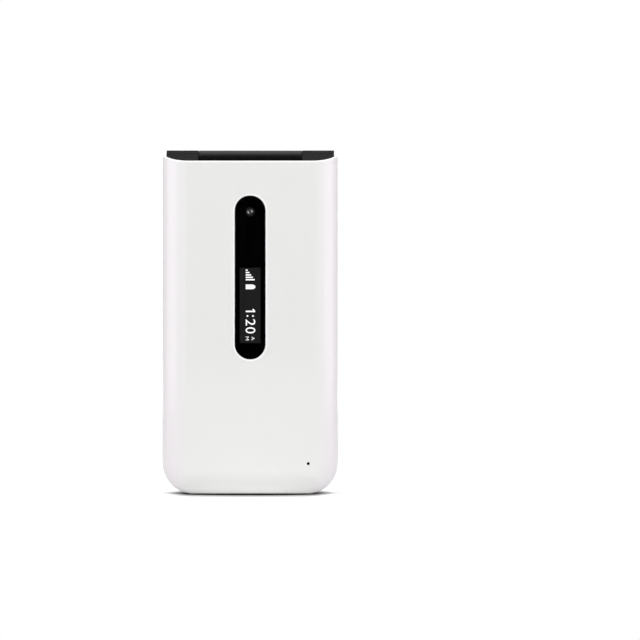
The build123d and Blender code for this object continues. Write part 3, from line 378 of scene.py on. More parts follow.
STEEL_METAL = metal("steel_metal", STEEL, 0.3, (1, 1, 6))
BRIGHT_RIM = metal("bright_rim", (0.42, 0.42, 0.43), 0.3)
# dark metal rims; also painted shade of the small holes on the back
DARK_RIM_AND_HOLE_SHADE = metal("dark_rim_and_hole_shade", (0.13, 0.13, 0.135), 0.32)
FAINT_RIM = metal("faint_rim", (0.055, 0.055, 0.058), 0.32)
GOLD_METAL = metal("gold_metal", GOLD, 0.25)
# bevel bead around the window; its white, brighter than the shell, is a painted highlight
WHITE_RIM_HIGHLIGHT = plain("rim_lacquer_highlight", WHITE, 0.25, coat=(1.0, 0.03))
INK_DARK = ink("ink_dark", (0.045, 0.047, 0.052))
INK_GREY = ink("ink_grey", (0.2, 0.2, 0.205))
INK_GREEN = ink("ink_green", (0.02, 0.33, 0.09))
INK_RED = ink("ink_red", (0.55, 0.03, 0.03))
BLACK_PART = plain("black_part", (0.004, 0.004, 0.004), 0.7, specular=0.1)
# black ink behind the window glass; also painted shade inside the microphone hole
DEEP_PAINT_AND_SHADE = plain("deep_paint_and_shade", (0.0007, 0.0007, 0.0008), 0.6, specular=0.0)
CHIP_BLACK = plain("chip_epoxy", EPOXY_BLACK, 0.5)
LIT_WHITE = lit("lit_white", WHITE, 1.4)
LIT_ICON = lit("lit_icon", WHITE, 1.3)

FINISHES = {
    "shell_white": pearl_shell(),
    "deck_white": grained("satin_deck", SATIN_WHITE, 0.5, (2.5, 2.0), (0.09, 3.0), 0.006),
    "key_white": grained("key_cap", KEY_WHITE, 0.3, (1.8, 2.0), (0.7, 2.0), 0.0015, coat=(0.3, 0.15)),
    "key_function": grained("key_metal", KEY_SILVER, 0.34, (0.12, 2.0), (0.12, 2.0), 0.002, metallic=0.45),
    "housing_black": housing(),
    "gloss_black": gloss_black(),
    "screen": dark_panel(),
    "cover_glass": glass("display_pane", (0.97, 0.98, 0.98), 1.2),
    "camera": grained("camera_body", CAMERA_BLACK, 0.34, (0.2, 2.0), (0.15, 2.0), 0.004, metallic=0.3),
    "board": board(),
    "steel": STEEL_METAL,
    "tin": metal("tin_metal", (0.62, 0.62, 0.6), 0.34, (6, 1, 1)),
    "rubber": plain("rubber_pad", (0.018, 0.018, 0.018), 0.72, 0.14, 0.008, Sheen_Weight=0.15),
    "silicone": plain("silicone_sheet", (0.3, 0.31, 0.32), 0.6, 0.14, 0.008, Sheen_Weight=0.15),
    "flex": flex_film(),
    "audio": plain("audio_body", (0.02, 0.02, 0.021), 0.5, 0.2, 0.01),
    "mesh": plain("mesh_backing", (0.006, 0.006, 0.006), 0.6, 0.12, 0.01),
    "battery": battery_wrap(),
    "component": plain("component", (0.025, 0.025, 0.027), 0.5),
}
OWN_FINISH = {
    "lid_window": glass("window_pane", (0.85, 0.85, 0.86), 1.3),
    "base_chassis": chassis(),
}


def dress_nodes():
    """Each CAD node takes its slot's finish, or its own."""
    for name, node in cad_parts.items():
        for slot in node.material_slots:
            slot.material = OWN_FINISH.get(name, FINISHES[slot.material.name])


# ---- Outlines on a flat sheet, mm ----
def arc(x, y, radius, start, end, steps=ARC_STEPS, rise=None):
    """Points on a circle, or an oval of half height rise, from one angle to another in degrees."""
    angles = (radians(start + (end - start) * i / steps) for i in range(steps + 1))
    return [(x + radius * cos(a), y + (rise or radius) * sin(a)) for a in angles]


def circle(x, y, radius):
    return arc(x, y, radius, 0, 360, 4 * ARC_STEPS)[:-1]


def rounded(x, y, width, height, radius):
    """Rectangle about (x, y) with round corners."""
    side, rise = width / 2 - radius, height / 2 - radius
    corners = ((side, rise, 0), (-side, rise, 90), (-side, -rise, 180), (side, -rise, 270))
    return [point for dx, dy, start in corners for point in arc(x + dx, y + dy, radius, start, start + 90)]


def stadium(x, y, width, height, margin=0.0):
    """Slot with round ends, wider and longer by a margin."""
    width, height = width + margin, height + margin
    return rounded(x, y, width, height, min(width, height) / 2 - 0.001)


def rectangle(x, y, width, height):
    return [(x + sx * width / 2, y + sy * height / 2)
            for sx, sy in ((1, 1), (-1, 1), (-1, -1), (1, -1))]


def moved(outline, x, y, scale=1.0):
    return [(x + scale * px, y + scale * py) for px, py in outline]


def stroke(x, y, half):
    return [(x - half, y), (x + half, y)]


def cross(x, y, half):
    return [stroke(x, y, half), [(x, y - half), (x, y + half)]]


def digit_one(x, y, height):
    """The digit 1 with its flag, centred on (x, y)."""
    points = [(0.13, -0.5), (0.13, 0.5), (0.0, 0.5), (-0.2, 0.33), (-0.2, 0.17), (-0.03, 0.3),
              (-0.03, -0.5)]
    return moved(points, x, y, height)


def handset(x, y, size, turn):
    """Telephone handset: a bowed grip that widens inwards at both ends."""
    bow, grip, cup, half_angle = 0.55 * size, 0.065 * size, 0.16 * size, 52
    swell_start, swell_rate, round_start = 0.68, 26, 0.93
    outer, inner = [], []
    steps = 4 * ARC_STEPS
    for i in range(steps + 1):
        t = -1 + 2 * i / steps
        swell = 1 / (1 + exp(-swell_rate * (abs(t) - swell_start)))
        beyond = max(0.0, (abs(t) - round_start) / (1 - round_start))
        middle = bow - 0.5 * cup * swell
        reach = (grip + 0.5 * cup * swell) * (0.5 + 0.5 * sqrt(max(0.0, 1 - beyond ** 2)))
        angle = radians(turn + half_angle * t)
        c, s = cos(angle), sin(angle)
        outer.append((x + (middle + reach) * c, y + (middle + reach) * s))
        inner.append((x + (middle - reach) * c, y + (middle - reach) * s))
    return outer + inner[::-1]


# ---- Seats of flat sheets on the phone ----
def seats(right, up, out):
    """Maker of matrices that take a sheet's x, y and height in mm to one side of the phone.

    It takes the face's place along its outward axis first, then the other two.
    """
    axis = [abs(part) for part in out].index(1)

    def seat(level, *others):
        spot = list(others or (0.0, 0.0))
        spot.insert(axis, level)
        return Matrix.Translation(spot) @ Matrix((right, up, out)).transposed().to_4x4()
    return seat


facing_front = seats((1, 0, 0), (0, 0, 1), (0, -1, 0))
facing_back = seats((-1, 0, 0), (0, 0, 1), (0, 1, 0))
facing_inside = seats((1, 0, 0), (0, 0, -1), (0, 1, 0))     # upright when the lid is open
facing_left = seats((0, -1, 0), (0, 0, 1), (-1, 0, 0))
facing_right = seats((0, 1, 0), (0, 0, 1), (1, 0, 0))
facing_up = seats((1, 0, 0), (0, 1, 0), (0, 0, 1))
reading_down = seats((0, 0, -1), (1, 0, 0), (0, -1, 0))     # on the front, text running down


# ---- Meshes ----
def curve_data(outlines, kind, closed=True):
    """Curve of straight runs through points of two or three numbers."""
    curve = bpy.data.curves.new("outline", "CURVE")
    curve.dimensions = kind
    for outline in outlines:
        spline = curve.splines.new("POLY")
        spline.points.add(len(outline) - 1)
        for point, spot in zip(spline.points, outline):
            point.co = (*spot, 0)[:3] + (1,)
        spline.use_cyclic_u = closed
    return curve


def mesh_of(curve):
    """Cleaned mesh of a curve; the curve itself is removed."""
    holder = new_object("holder", curve)
    graph = bpy.context.evaluated_depsgraph_get()
    mesh = bpy.data.meshes.new_from_object(holder.evaluated_get(graph))
    bpy.data.objects.remove(holder)
    bpy.data.curves.remove(curve)
    work = bmesh.new()
    work.from_mesh(mesh)
    bmesh.ops.remove_doubles(work, verts=work.verts, dist=0.0005)
    bmesh.ops.dissolve_degenerate(work, edges=work.edges, dist=0.0002)
    bmesh.ops.recalc_face_normals(work, faces=work.faces)
    work.to_mesh(mesh)
    work.free()
    return mesh


def sheet_mesh(outlines, depth=2 * PROUD, bevel=0.0):
    """Closed outlines filled as one sheet (inner ones are holes), depth thick."""
    curve = curve_data(outlines, "2D")
    curve.fill_mode = "BOTH"
    curve.extrude = depth / 2 - bevel
    curve.bevel_depth = bevel
    curve.bevel_resolution = 2
    curve.offset = -bevel
    return mesh_of(curve)


def wire_mesh(paths, radius, closed=True, flatten=1.0):
    """Round wire along paths; flatten below 1 presses it into a printed line."""
    curve = curve_data(paths, "3D", closed)
    curve.bevel_depth = radius
    curve.bevel_resolution = 2
    curve.use_fill_caps = True
    mesh = mesh_of(curve)
    mesh.transform(Matrix.Scale(flatten, 4, (0, 0, 1)))
    return mesh


def line_mesh(paths, width, closed=False):
    return wire_mesh(paths, width / 2, closed, 2 * PROUD / width)


def text_mesh(text, height, x=0.0, y=0.0, width=None):
    """Capitals or digits of a given height (and width) centred on (x, y)."""
    curve = bpy.data.curves.new("text", "FONT")
    curve.body = text
    curve.extrude = PROUD
    mesh = mesh_of(curve)
    xs = [v.co.x for v in mesh.vertices]
    rise = height / CAPITAL_HEIGHT
    spread = width / (max(xs) - min(xs)) if width else rise
    for v in mesh.vertices:
        v.co.x = x + (v.co.x - (max(xs) + min(xs)) / 2) * spread
        v.co.y = y + (v.co.y - CAPITAL_HEIGHT / 2) * rise
    return mesh


def join_meshes(meshes):
    """One mesh of several, which are removed."""
    work = bmesh.new()
    for mesh in meshes:
        work.from_mesh(mesh)
        bpy.data.meshes.remove(mesh)
    joined = bpy.data.meshes.new("joined")
    work.to_mesh(joined)
    work.free()
    return joined


def lathe_mesh(profile, steps=64):
    """Round shape about a seat's outward axis; profile holds (radius, height) pairs."""
    work = bmesh.new()
    turns = [(cos(tau * i / steps), sin(tau * i / steps)) for i in range(steps)]
    rings = [[work.verts.new((radius * c, radius * s, height)) for c, s in turns]
             if radius > 1e-6 else [work.verts.new((0, 0, height))] for radius, height in profile]
    for a, b in zip(rings, rings[1:]):
        for i in range(steps):
            j = (i + 1) % steps
            corners = [a[i % len(a)], a[j % len(a)], b[j % len(b)], b[i % len(b)]]
            work.faces.new(list(dict.fromkeys(corners)))
    bmesh.ops.recalc_face_normals(work, faces=work.faces)
    mesh = bpy.data.meshes.new("lathe")
    work.to_mesh(mesh)
    work.free()
    return mesh


def weave_mesh(length, height, pitch, wire):
    """Woven wire cloth that fills a stadium."""
    radius = height / 2 - wire
    straight = length / 2 - height / 2
    count = int((straight + radius) / pitch)
    paths = []
    for along in (True, False):
        limit = int(radius / pitch) if along else count
        for k in range(-limit, limit + 1):
            offset = k * pitch
            beyond = offset if along else max(0.0, abs(offset) - straight)
            half = sqrt(max(0.01, radius ** 2 - beyond ** 2)) + (straight if along else 0)
            steps = max(4, int(4 * half / pitch))
            paths.append([])
            for i in range(steps + 1):
                run = -half + 2 * half * i / steps
                lift = wire * cos(pi * (run / pitch + k)) * (1 if along else -1)
                paths[-1].append((run, offset, lift) if along else (offset, run, lift))
    return wire_mesh(paths, wire, False)


# ---- Pieces ----
def place(mesh, name, body, where, material, sink=0.0, smooth_angle=35):
    """Seats a mesh (sink mm below its face) as a piece that rides on a body."""
    mesh.transform(Matrix.Scale(MM, 4) @ where @ Matrix.Translation((0, 0, -sink)))
    piece = new_object(name, mesh)
    mesh.materials.clear()
    mesh.materials.append(material)
    mesh.shade_smooth()
    mesh.set_sharp_from_angle(angle=radians(smooth_angle))
    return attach(piece, body)


def bead(name, body, outline, radius, where, material, sink=0.0):
    """Thin wire set into a face along an outline."""
    return place(wire_mesh([outline], radius), name, body, where, material, sink)


# ---- Lid, front ----
window = (0, node_middle("lid_window").z, 10.4, 54.7)    # its middle, width and length
rim_width, rim_height, rim_bevel = 0.5, 0.08, 0.036
rim_lap, rim_proud = 0.02, 0.004
mask_depth = 0.06            # of the paint behind the glass
aperture_radius = 1.6
microphone_x, microphone_z = 19.35, 10.1
gasket_profile = [(0.49, -0.05), (0.42, -0.2), (0.42, -0.9), (0, -0.9)]

# Lit part of the small display. Places along it count down from its upper end.
status_width, status_length, status_centre = 6.9, 25.1, 62.75
status_margin = 0.8          # of the panel behind the edge of the paint
status_band = 3.15           # height of the digits and symbols across the display
status_shift = 0.11          # they stand a little to the right of its middle
bar_start, bar_pitch, bar_width, bar_rise = 0.81, 0.795, 0.46, 0.6
cell_start, cell_end, cell_nose, cell_shoulder = 5.59, 7.16, (6.0, 6.75), 2.35
one_at, colon_at, two_at, zero_at, mark_at = 14.4, 16.08, 18.2, 20.84, 23.55
dot_rise, dot_drop, dot_radius = 0.58, 0.74, 0.3
mark_height = 1.05

# Camera; a profile holds pairs of radius and height
ring_profile = [(1.6, -0.1), (1.6, 0.05), (1.5, 0.08), (1.4, 0.02), (1.0, -0.1), (0.86, -0.3)]
bezel_radius, bezel_half, bezel_rise, bezel_seat = 0.66, 0.18, 0.14, -0.06
bezel_outside, bezel_inside = (0.84, -0.1), (0.48, -0.2)
lens_radius, lens_rise, lens_seat = 0.52, 0.16, -0.28

# Hinge
seam_x = 17.11               # where the knuckles meet the fixed barrel
washer_inner, washer_outer, washer_depth = 3.6, 4.1, 0.08
groove_radius, groove_wire = 2.5, 0.07


def build_window():
    """Rim bead whose white is a painted highlight, black paint behind the glass, the small display's picture
    and the lens.
    """
    rim = [stadium(*window, 2 * rim_width), stadium(*window, -rim_lap)]
    # The rim bead follows the window's bevel; its white is a painted highlight
    place(sheet_mesh(rim, rim_height, rim_bevel), "window_rim", "lid", facing_front(cover_low.y),
          WHITE_RIM_HIGHLIGHT, rim_height / 2 - rim_proud)
    paint = [stadium(*window), rounded(0, status_centre, status_width, status_length, 0.15),
             circle(0, camera_z, aperture_radius)]
    place(sheet_mesh(paint, mask_depth), "window_paint", "lid", facing_front(window_high.y + mask_depth),
          DEEP_PAINT_AND_SHADE)
    panel = rectangle(0, status_centre, status_width + status_margin, status_length + status_margin)
    place(sheet_mesh([panel], 0.02), "status_panel", "lid", facing_front(panel_low.y),
          lit("status_glow", WHITE, 0.016))
    # Near-black cup lining the microphone hole: painted shade for the inside of the hole
    place(lathe_mesh(gasket_profile, 32), "microphone_gasket_shade", "lid",
          facing_front(cover_low.y, microphone_x, microphone_z), DEEP_PAINT_AND_SHADE)
    build_status()
    build_lens()


def build_status():
    """Signal bars, battery, clock and a small mark, reading down the display."""
    where = reading_down(panel_low.y - 2 * PROUD, 0.0, status_centre + status_length / 2)

    def show(name, mesh):
        place(mesh, name, "lid", where, LIT_WHITE)

    low, high = status_shift - status_band / 2, status_shift + status_band / 2
    bars = [rectangle(bar_start + bar_pitch * i, low + bar_rise * (i + 1) / 2, bar_width, bar_rise * (i + 1))
            for i in range(5)]
    show("status_signal", sheet_mesh(bars))
    shoulder = low + cell_shoulder
    cell = [(cell_start, low), (cell_start, shoulder), (cell_nose[0], high), (cell_nose[1], high),
            (cell_end, shoulder), (cell_end, low)]
    show("status_battery", sheet_mesh([cell]))
    dots = [circle(colon_at, low + dot_rise, dot_radius), circle(colon_at, high - dot_drop, dot_radius)]
    clock = [sheet_mesh([digit_one(one_at, status_shift, status_band)]), sheet_mesh(dots),
             text_mesh("2", status_band, two_at, status_shift, 2.15),
             text_mesh("0", status_band, zero_at, status_shift, 2.05)]
    show("status_clock", join_meshes(clock))
    halves = [text_mesh("A", mark_height, mark_at, high - dot_drop, 1.15),
              text_mesh("M", mark_height, mark_at, low + 0.5, 1.2)]
    show("status_mark", join_meshes(halves))


def bezel_metal():
    """Polished lens rim with a painted highlight on its two sides."""
    made = Shader("bezel_metal", BEZEL_DARK, 0.2, metallic=1.0)
    across = made.ramp(made.along("x"), -MM, MM, -1, 1)
    tilt = made.ramp(made.along("z"), (camera_z - 1) * MM, (camera_z + 1) * MM, -0.35, 0.35)
    # Painted highlight: the metal turns bright towards its left and right sides
    sides = made.compute("ABSOLUTE", made.compute("ADD", across, tilt), 0)
    made.tint(sides, BEZEL_HIGHLIGHT, 0.3, 0.62)
    return made.relief(made.noise(0.1), 0.001).material


def build_lens():
    """Stepped ring, polished bezel and domed lens in front of the camera module."""
    where = facing_front(camera_low.y, 0, camera_z)
    black = plain("lens_ring", PANEL_BLACK, 0.4, specular=0.2)
    place(lathe_mesh(ring_profile), "camera_ring", "lid", where, black)
    crest = arc(bezel_radius, bezel_seat, bezel_half, 0, 180, 10, bezel_rise)
    place(lathe_mesh([bezel_outside, *crest, bezel_inside]), "camera_bezel", "lid", where, bezel_metal())
    coated = Shader("lens_glass", LENS_BLUE, 0.03, coat=(0.5, 0.0))
    coated.tint(coated.noise(1.5), LENS_VIOLET)
    dome = arc(0, lens_seat, lens_radius, 0, 90, 8, lens_rise)
    place(lathe_mesh(dome), "camera_lens", "lid", where, coated.material)


def build_hinge():
    """Black washers in the seams of the barrel and a turned groove ring on each end cap."""
    axis = node_middle("hinge_end_caps")
    washer = [(washer_inner, 0.0), (washer_outer, 0.0), (washer_outer, washer_depth),
              (washer_inner, washer_depth), (washer_inner, 0.0)]
    for side, facing in ((-1, facing_left), (1, facing_right)):
        place(lathe_mesh(washer), f"hinge_washer_{side + 1}", "base", facing(side * seam_x, axis.y, axis.z),
              BLACK_PART)
        bead(f"end_cap_ring_{side + 1}", "lid", circle(0, 0, groove_radius), groove_wire,
             facing(side * cap_high.x, axis.y, axis.z), CHIP_BLACK)


# ---- Back ----
island = node_middle("back_island")
speaker_x = node_middle("speaker_mesh").x
speaker_cloth = 6.8          # across
speaker_rim = 3.74           # radius
sos_x, sos_width, sos_height = -6.5, 13.2, 8.4
surround_margin, sos_inset = 1.1, 0.9
small_holes = [              # x, y and radius
    (-3.5, 0, 0.24), (-2.6, 0, 0.24), (-3.2, -1.0, 0.13), (-2.5, -1.0, 0.13), (-2.85, -1.7, 0.13),
]
streaks = [(-3.6, 1.36, 3.3), (-2.9, 0.43, 3.0), (-3.6, -0.68, 3.3), (-2.9, -1.7, 3.0)]   # x, y, length

# Left side and bottom edge
sign_reach = 7.2             # of plus and minus from the middle of the rocker
jack_ring = (1.98, 1.81)     # radii
jack_depth = 14.0
tip_profile = [(1.3, 0.0), (1.1, 0.1), (0.5, 0.12), (0.4, 0.3), (0.0, 0.3)]
pin_count, pin_pitch, pin_width, pin_length, pin_z = 12, 0.5, 0.26, 3.6, 3.1
tongue_half = 0.35


def build_island():
    """Rims, wire cloth, dark discs as painted shade for small holes, and the quick-call key's symbol."""
    face = facing_back(island_high.y, island.x, island.z)
    width, height = island_high.x - island_low.x, island_high.z - island_low.z
    bead("island_rim", "base", stadium(0, 0, width, height, -0.22), 0.1, face, BRIGHT_RIM)
    bead("speaker_rim", "base", circle(-speaker_x, 0, speaker_rim), 0.14, face, DARK_RIM_AND_HOLE_SHADE, 0.13)
    place(weave_mesh(speaker_cloth, speaker_cloth, 0.3, 0.055), "speaker_cloth", "base",
          facing_back(disc_high.y + 0.08, speaker_x, island.z), FAINT_RIM)
    # Dark discs on the face stand for small holes: painted shade
    place(sheet_mesh([circle(x, y, radius) for x, y, radius in small_holes]), "island_hole_shade", "base", face,
          DARK_RIM_AND_HOLE_SHADE)
    around = stadium(-sos_x, 0, sos_width, sos_height, surround_margin)
    bead("sos_surround", "base", around, 0.13, face, DARK_RIM_AND_HOLE_SHADE, 0.02)
    key = facing_back(sos_high.y, sos_x, island.z)
    bead("sos_rim", "sos_key", stadium(0, 0, sos_width, sos_height, -sos_inset), 0.09, key, FAINT_RIM,
         0.02)
    symbol = [[(x, y), (x + 1.2, y + 0.2), (x + length, y + 0.22), (x + length, y - 0.22), (x + 1.2, y - 0.2)]
              for x, y, length in streaks]
    place(sheet_mesh([*symbol, handset(4.2, 0.6, 5.4, 201)]), "sos_symbol", "sos_key", key, INK_GREY)


def build_side():
    """Plus and minus on the volume rocker, headset contacts and charging contacts."""
    y = node_middle("usb_port").y
    signs = [*cross(0, sign_reach, 0.5), stroke(0, -sign_reach, 0.5)]
    place(line_mesh(signs, 0.2), "rocker_marks", "volume_rocker",
          facing_left(rocker_low.x, y, node_middle("volume_rocker").z), INK_GREY)
    jack_z = node_middle("headset_jack").z
    place(sheet_mesh([circle(0, 0, radius) for radius in jack_ring]), "jack_ring", "base",
          facing_left(jack_low.x, y, jack_z), STEEL_METAL)
    place(lathe_mesh(tip_profile), "jack_tip", "base", facing_left(jack_low.x + jack_depth, y, jack_z),
          GOLD_METAL)
    pins = [rectangle(pin_pitch * (i - (pin_count - 1) / 2), pin_z, pin_width, pin_length)
            for i in range(pin_count)]
    for label, facing, side in (("front", facing_front, -tongue_half), ("back", facing_back, tongue_half)):
        place(sheet_mesh(pins), f"usb_contacts_{label}", "base", facing(y + side), GOLD_METAL)


# ---- Keypad ----
crown_radius = 75.0
crown_reach, crown_step = 12, 0.8    # rows of cuts each way, and their distance
key_letters = "ABC DEF GHI JKL MNO PQRS TUV WXYZ".split()    # keys 2 to 9
digit_height, digit_x = 4.0, -3.1
letter_height, letter_x = 1.75, 3.2
line_width = 0.34
small_line = 0.26
handset_size = 5.2
arrow_rise, arrow_side = 8.4, 9.8    # from the middle of the ring
arrow = [(-0.95, -0.55), (0.95, -0.55), (0, 0.65)]
dash = [stroke(0, 0, 1.8)]
envelope = [[(-2.3, 1.5), (2.3, 1.5), (2.3, -1.5), (-2.3, -1.5), (-2.3, 1.5), (0, -0.2), (2.3, 1.5)]]
photo_icon = [[(-2.3, 1.1), (-1.2, 1.1), (-0.8, 1.7), (0.8, 1.7), (1.2, 1.1), (2.3, 1.1), (2.3, -1.6),
               (-2.3, -1.6), (-2.3, 1.1)], circle(0, -0.2, 0.9) + [(0.9, -0.2)]]
erase_icon = [[(-3.0, 0), (-1.5, 1.6), (2.9, 1.6), (2.9, -1.6), (-1.5, -1.6), (-3.0, 0)],
              [(-0.1, 0.75), (1.4, -0.75)], [(-0.1, -0.75), (1.4, 0.75)]]
star_tips = arc(0, 0, 1.5, 30, 330, 5)
star_icon = [[star_tips[i], star_tips[i + 3]] for i in range(3)]
hash_icon = [[(-0.85, -1.9), (-0.45, 1.9)], [(0.45, -1.9), (0.85, 1.9)], stroke(0, 0.7, 1.7),
             stroke(0, -0.7, 1.7)]
plus_icon = cross(0, 0, 0.65)
tape_icon = [circle(-0.95, 0, 0.6) + [(-0.35, 0)], circle(0.95, 0, 0.6) + [(1.55, 0)],
             stroke(0, -0.6, 0.95)]


def legend(node, name, mesh, material, crowned=True):
    """Prints a flat mesh on a key, bent to the key's crown."""
    if crowned:
        work = bmesh.new()
        work.from_mesh(mesh)
        for k in range(-crown_reach, crown_reach + 1):
            geometry = work.verts[:] + work.edges[:] + work.faces[:]
            cut = (0, crown_step * k, 0)
            bmesh.ops.bisect_plane(work, geom=geometry, plane_co=cut, plane_no=(0, 1, 0))
        work.to_mesh(mesh)
        work.free()
        for v in mesh.vertices:
            v.co.z -= crown_radius - sqrt(crown_radius ** 2 - v.co.y ** 2)
    middle = node_middle(node)
    face = facing_front(node_box(node)[0].y, middle.x, middle.z)
    place(mesh, name, node, face, material)


def icon_mesh(paths, x, y, width):
    return line_mesh([moved(path, x, y) for path in paths], width)


def number_key(number, digit, letters):
    legend(f"key_{number}", f"key_{number}_digit", digit, INK_DARK)
    legend(f"key_{number}", f"key_{number}_letters", letters, INK_GREY)


def build_legends():
    """Numbers, letters and symbols on every key."""
    one = sheet_mesh([digit_one(digit_x, 0, digit_height)])
    number_key(1, one, icon_mesh(tape_icon, letter_x, 0, small_line))
    for i, letters in enumerate(key_letters, 2):
        number_key(i, text_mesh(str(i), digit_height, digit_x), text_mesh(letters, letter_height, letter_x))
    number_key(0, text_mesh("0", digit_height, digit_x), icon_mesh(plus_icon, letter_x, 0, small_line))
    legend("key_star", "key_star_mark", line_mesh(star_icon, 0.5), INK_DARK)
    legend("key_hash", "key_hash_mark", line_mesh(hash_icon, 0.42), INK_DARK)
    calling, ending = handset(1.1, 1.1, handset_size, 225), handset(0, -1.9, handset_size, 90)
    legend("call_key", "call_symbol", sheet_mesh([calling]), INK_GREEN)
    legend("end_key", "end_symbol", sheet_mesh([ending]), INK_RED)
    legend("clear_key", "clear_symbol", line_mesh(erase_icon, line_width), INK_DARK)
    for node, icon in (("shortcut_key_left", photo_icon), ("shortcut_key_right", envelope),
                       ("soft_key_left", dash), ("soft_key_right", dash)):
        legend(node, f"{node}_symbol", line_mesh(icon, line_width), INK_DARK)
    up, side = moved(arrow, 0, arrow_rise), moved(arrow, 0, arrow_side)
    arrows = [up, [(x, -y) for x, y in up], [(y, x) for x, y in side], [(-y, x) for x, y in side]]
    legend("nav_ring", "nav_arrows", sheet_mesh(arrows), INK_DARK)
    legend("ok_key", "ok_letters", text_mesh("OK", 2.3), INK_DARK, crowned=False)


# ---- Lid, inner side ----
screen_z = node_middle("main_display").z
picture_width, picture_height = 47.0, 61.5
layer_step = 0.04            # between picture, tiles and icons
tiles = [                    # name, place across the screen, colour
    ("calls", -15.9, (0.03, 0.42, 0.12)), ("mail", -5.3, (0.75, 0.33, 0.03)),
    ("photos", 5.3, (0.05, 0.25, 0.75)), ("tools", 15.9, (0.42, 0.1, 0.55)),
]
tile_y, tile_size, tile_corner = -17.5, 8.4, 2.0
icon_line = 0.4
clock_y, clock_height = 15.5, 7.5
top_y, cell_x = 27.9, 18.9   # status row and its battery
soft_x, soft_y = 18.5, -27.0     # marks over the soft keys


def build_home_screen():
    """Picture, status row, clock, four tiles and soft-key marks."""
    def show(name, layer, mesh, material):
        face = facing_inside(screen_high.y + layer_step * layer, 0, screen_z)
        place(mesh, name, "lid", face, material)

    show("home_picture", 0, sheet_mesh([rectangle(0, 0, picture_width, picture_height)]), wallpaper())
    bands = [rectangle(0, 28.0, picture_width, 5.0), rectangle(0, -27.3, picture_width, 6.4)]
    show("home_bands", 1, sheet_mesh(bands), lit("band_glow", BAND_BLUE, 1.0))
    bars = [rectangle(-20.6 + 0.9 * i, 26.7 + 0.3 * (i + 1), 0.6, 0.6 * (i + 1)) for i in range(4)]
    cell = [rectangle(cell_x, top_y, 4.2, 2.1), rectangle(cell_x, top_y, 3.7, 1.6),
            rectangle(cell_x - 0.4, top_y, 2.4, 1.0), rectangle(cell_x + 2.4, top_y, 0.45, 1.0)]
    grid = [rectangle(1.1 * i, soft_y + 1.1 * j, 0.75, 0.75) for i in (-1, 0, 1) for j in (-1, 0, 1)]
    person = [circle(-soft_x, soft_y + 0.8, 0.85), arc(-soft_x, soft_y - 1.6, 1.5, 0, 180)]
    note = [rectangle(soft_x, soft_y, 3.6, 2.6), rectangle(soft_x, soft_y + 0.5, 2.6, 0.3),
            rectangle(soft_x, soft_y - 0.3, 2.6, 0.3)]
    one = digit_one(-7.0, clock_y, clock_height)
    colon = [circle(-4.0, 13.0, 0.6), circle(-4.0, 17.4, 0.6)]
    marks = [sheet_mesh([*bars, *cell, *grid, *person, *note]), sheet_mesh([one, *colon]),
             text_mesh("20", clock_height, 3.4, clock_y)]
    show("home_marks", 2, join_meshes(marks), LIT_ICON)
    for name, x, colour in tiles:
        tile = sheet_mesh([rounded(x, tile_y, tile_size, tile_size, tile_corner)])
        show(f"tile_{name}", 1, tile, lit(f"glow_{name}", colour, 1.0))
    calls, mail, photos, tools = (x for _, x, _ in tiles)
    menu = [stroke(tools, tile_y + d, 2.0) for d in (-1.5, 0, 1.5)]
    icons = [sheet_mesh([handset(calls + 0.7, tile_y + 0.7, 4.4, 225)]),
             icon_mesh(envelope, mail, tile_y, icon_line),
             icon_mesh(photo_icon, photos, tile_y + 0.1, icon_line), line_mesh(menu, 0.5)]
    show("tile_icons", 2, join_meshes(icons), LIT_ICON)


def build_earpiece():
    """Wire cloth in the earpiece slot, with a fine rim."""
    middle = node_middle("earpiece_mesh")
    cloth = weave_mesh(mesh_high.x - mesh_low.x, mesh_high.z - mesh_low.z, 0.26, 0.05)
    place(cloth, "earpiece_cloth", "lid", facing_inside(mesh_high.y + 0.06, middle.x, middle.z),
          STEEL_METAL)
    bead("earpiece_rim", "lid", stadium(0, 0, 11.3, 1.8), 0.09, facing_inside(-1.6, middle.x, middle.z),
         BRIGHT_RIM, 0.02)


# ---- Under the back cover ----
contact_x = (-11.6, -9.0, -6.4)
spring_y, spring_z = 5.8, 72.8
spring_path = [(0, 1.2, -0.9), (0, 0.9, -0.35), (0, 0.2, -0.2), (0, -0.15, -0.5)]
spring_wire, spring_spread = 0.16, 2.2
chips = [                    # centre x and z, width, height, thickness
    (-19.4, 78.0, 4.6, 4.6, 0.8), (-17.4, 74.2, 2.2, 1.6, 0.6), (-21.6, 74.2, 1.6, 1.0, 0.5),
    *[(-22.6, z, 0.9, 0.5, 0.4) for z in (79.4, 78.4, 77.4)],
    (-19.4, 81.4, 0.5, 0.9, 0.4), (-18.2, 81.4, 0.5, 0.9, 0.4), (22.8, 79.5, 1.6, 1.0, 0.5),
    (22.8, 77.0, 0.9, 0.5, 0.4), (22.8, 75.8, 0.9, 0.5, 0.4),
]
chip_end, chip_end_depth = 0.2, 0.3
plus_x, plus_half, minus_x, minus_half = 6.6, 0.7, 11.6, 0.6
wrap_frame = rounded(0, 38.5, 39.0, 44.0, 1.5)


